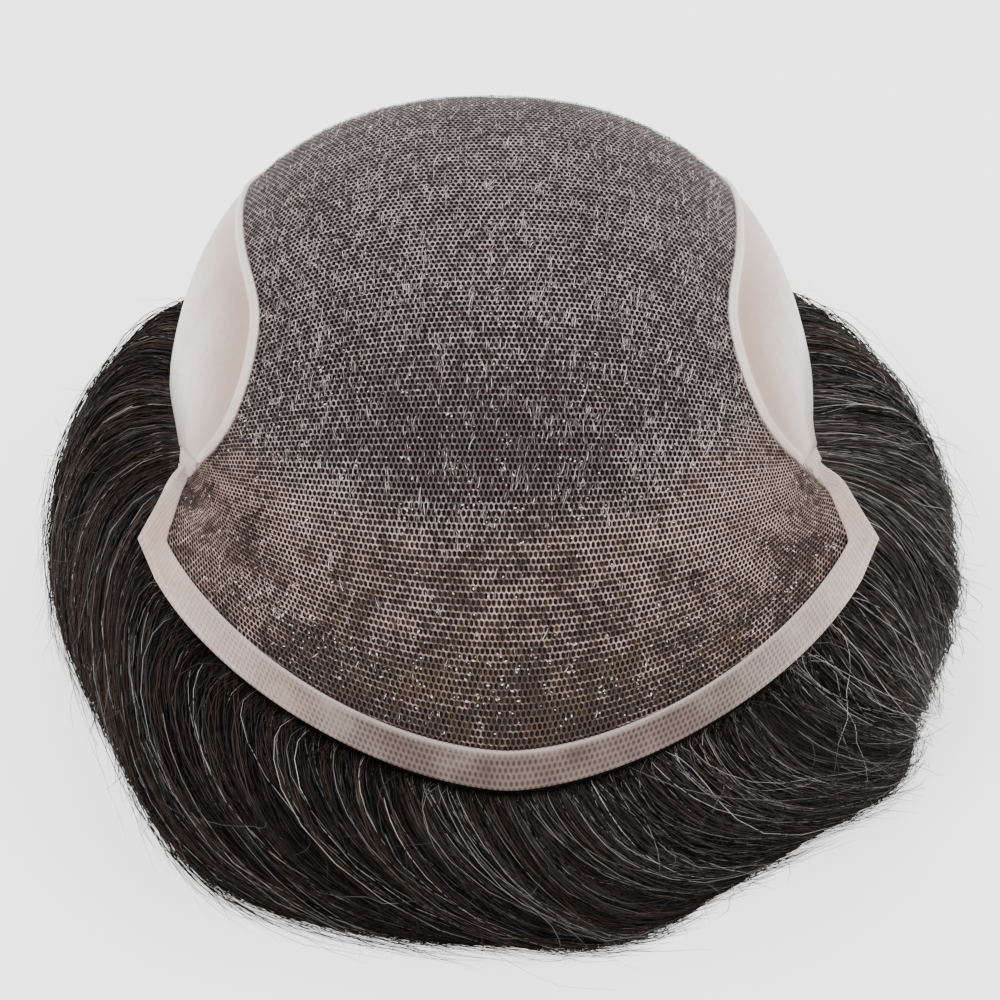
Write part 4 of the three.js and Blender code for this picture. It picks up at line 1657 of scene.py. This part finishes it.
@dataclass
class Studio:
    """Camera, soft light and floor."""

    target: tuple[float, float, float] = (-0.6, -14.0, 42.0)
    elevation: float = 38.0
    distance: float = 850.0
    lens: float = 150.8
    lights: tuple[tuple[str, tuple[float, float, float], float, float], ...] = (
        ("key", (-0.5, -0.5, 0.9), 0.7, 9.5),
        ("fill", (0.75, -0.35, 0.6), 0.8, 5.0),
        ("back", (0.1, 0.7, 0.9), 0.8, 8.0),
    )
    sky: float = 0.62
    floor_reach: float = 3.0

    def build(self, shift: np.ndarray) -> None:
        """Makes them, with the camera as far off as the photograph's, moved with the part.

        Args:
            shift: by which the part is moved from the cap's own frame, in millimetres.
        """
        scene = bpy.context.scene
        angle = math.radians(self.elevation)
        target = Vector(np.array(self.target) + shift) * MM
        back = Vector((0, -math.cos(angle), math.sin(angle)))
        camera = bpy.data.objects.new("camera", bpy.data.cameras.new("camera"))
        camera.data.lens = self.lens
        camera.data.sensor_width = 36.0
        camera.location = target + back * self.distance * MM
        camera.rotation_euler = back.to_track_quat("Z", "Y").to_euler()
        camera.data.clip_start = 0.05
        camera.data.clip_end = 20.0
        scene.collection.objects.link(camera)
        scene.camera = camera
        self.floor()
        for name, place, size, power in self.lights:
            self.light(name, place, size, power, target)
        world = bpy.data.worlds.new("studio")
        world.use_nodes = True
        backdrop = world.node_tree.nodes["Background"]
        backdrop.inputs["Color"].default_value = (1.0, 1.0, 1.0, 1.0)
        backdrop.inputs["Strength"].default_value = self.sky
        scene.world = world

    def floor(self) -> None:
        """Makes the floor as one large quad."""
        corners = np.array([(-1, -1, 0), (1, -1, 0), (1, 1, 0), (-1, 1, 0)], float) * self.floor_reach
        mesh = bpy.data.meshes.new("floor")
        mesh.from_pydata(corners.tolist(), [], [(0, 1, 2, 3)])
        mesh.materials.append(StudioFloor().build())
        floor = bpy.data.objects.new("floor", mesh)
        bpy.context.scene.collection.objects.link(floor)

    def light(
        self, name: str, place: tuple[float, float, float], size: float, power: float, target: Vector
    ) -> None:
        """Makes one square soft light that faces the part.

        Args:
            name: the light's name.
            place: where it stands, in metres.
            size: its side in metres.
            power: its power in watts.
            target: what it faces, in metres.
        """
        lamp = bpy.data.lights.new(name, "AREA")
        lamp.size = size
        lamp.energy = power
        made = bpy.data.objects.new(name, lamp)
        made.location = place
        made.rotation_euler = (Vector(place) - target).to_track_quat("Z", "Y").to_euler()
        bpy.context.scene.collection.objects.link(made)


def part_shift(cap: CapForm) -> np.ndarray:
    """How far the part's frame lies from the cap's own, from the boxes of band and lace.

    Args:
        cap: the cap's form, not moved yet.

    Returns:
        The shift in millimetres.
    """
    low, high = (np.array(corner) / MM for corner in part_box("front_band"))
    edge = np.linspace(0, cap.notch_edge, 81)
    sides = [cap.lifted(edge, side + 0 * edge, lift + 0 * edge) for side in (-1, 1) for lift in (-1, 0.6)]
    x = np.concatenate(sides)[:, 0]
    share = np.linspace(-1, 1, 17) * float(cap.seam(np.array(1.0), 0.75))
    across = cap.across_at(np.ones(17), share)
    behind = max(cap.lifted(np.ones(17), across, np.full(17, lift))[:, 1].max() for lift in (0, -1))
    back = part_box("lace_cap")[1][1] / MM
    return np.array([(low[0] + high[0] - x.min() - x.max()) / 2, back - behind, 0.0])


def main() -> None:
    """Builds the part's looks in order."""
    logging.basicConfig(level=logging.INFO, format="%(name)s %(message)s")
    cap = CapForm()
    cap.shift = part_shift(cap)
    LOG.info("shift %s", np.round(cap.shift, 3))
    skirt = SkirtForm(cap)
    lace = LaceCap(cap)
    Studio().build(cap.shift)
    RootMat(cap, skirt, lace).build()
    lace.build()
    SidePanel(cap, 1).build()
    SidePanel(cap, -1).build()
    FrontBand(cap, lace).build()
    HairSkirt(skirt).build()


if __name__ == "__main__":
    main()
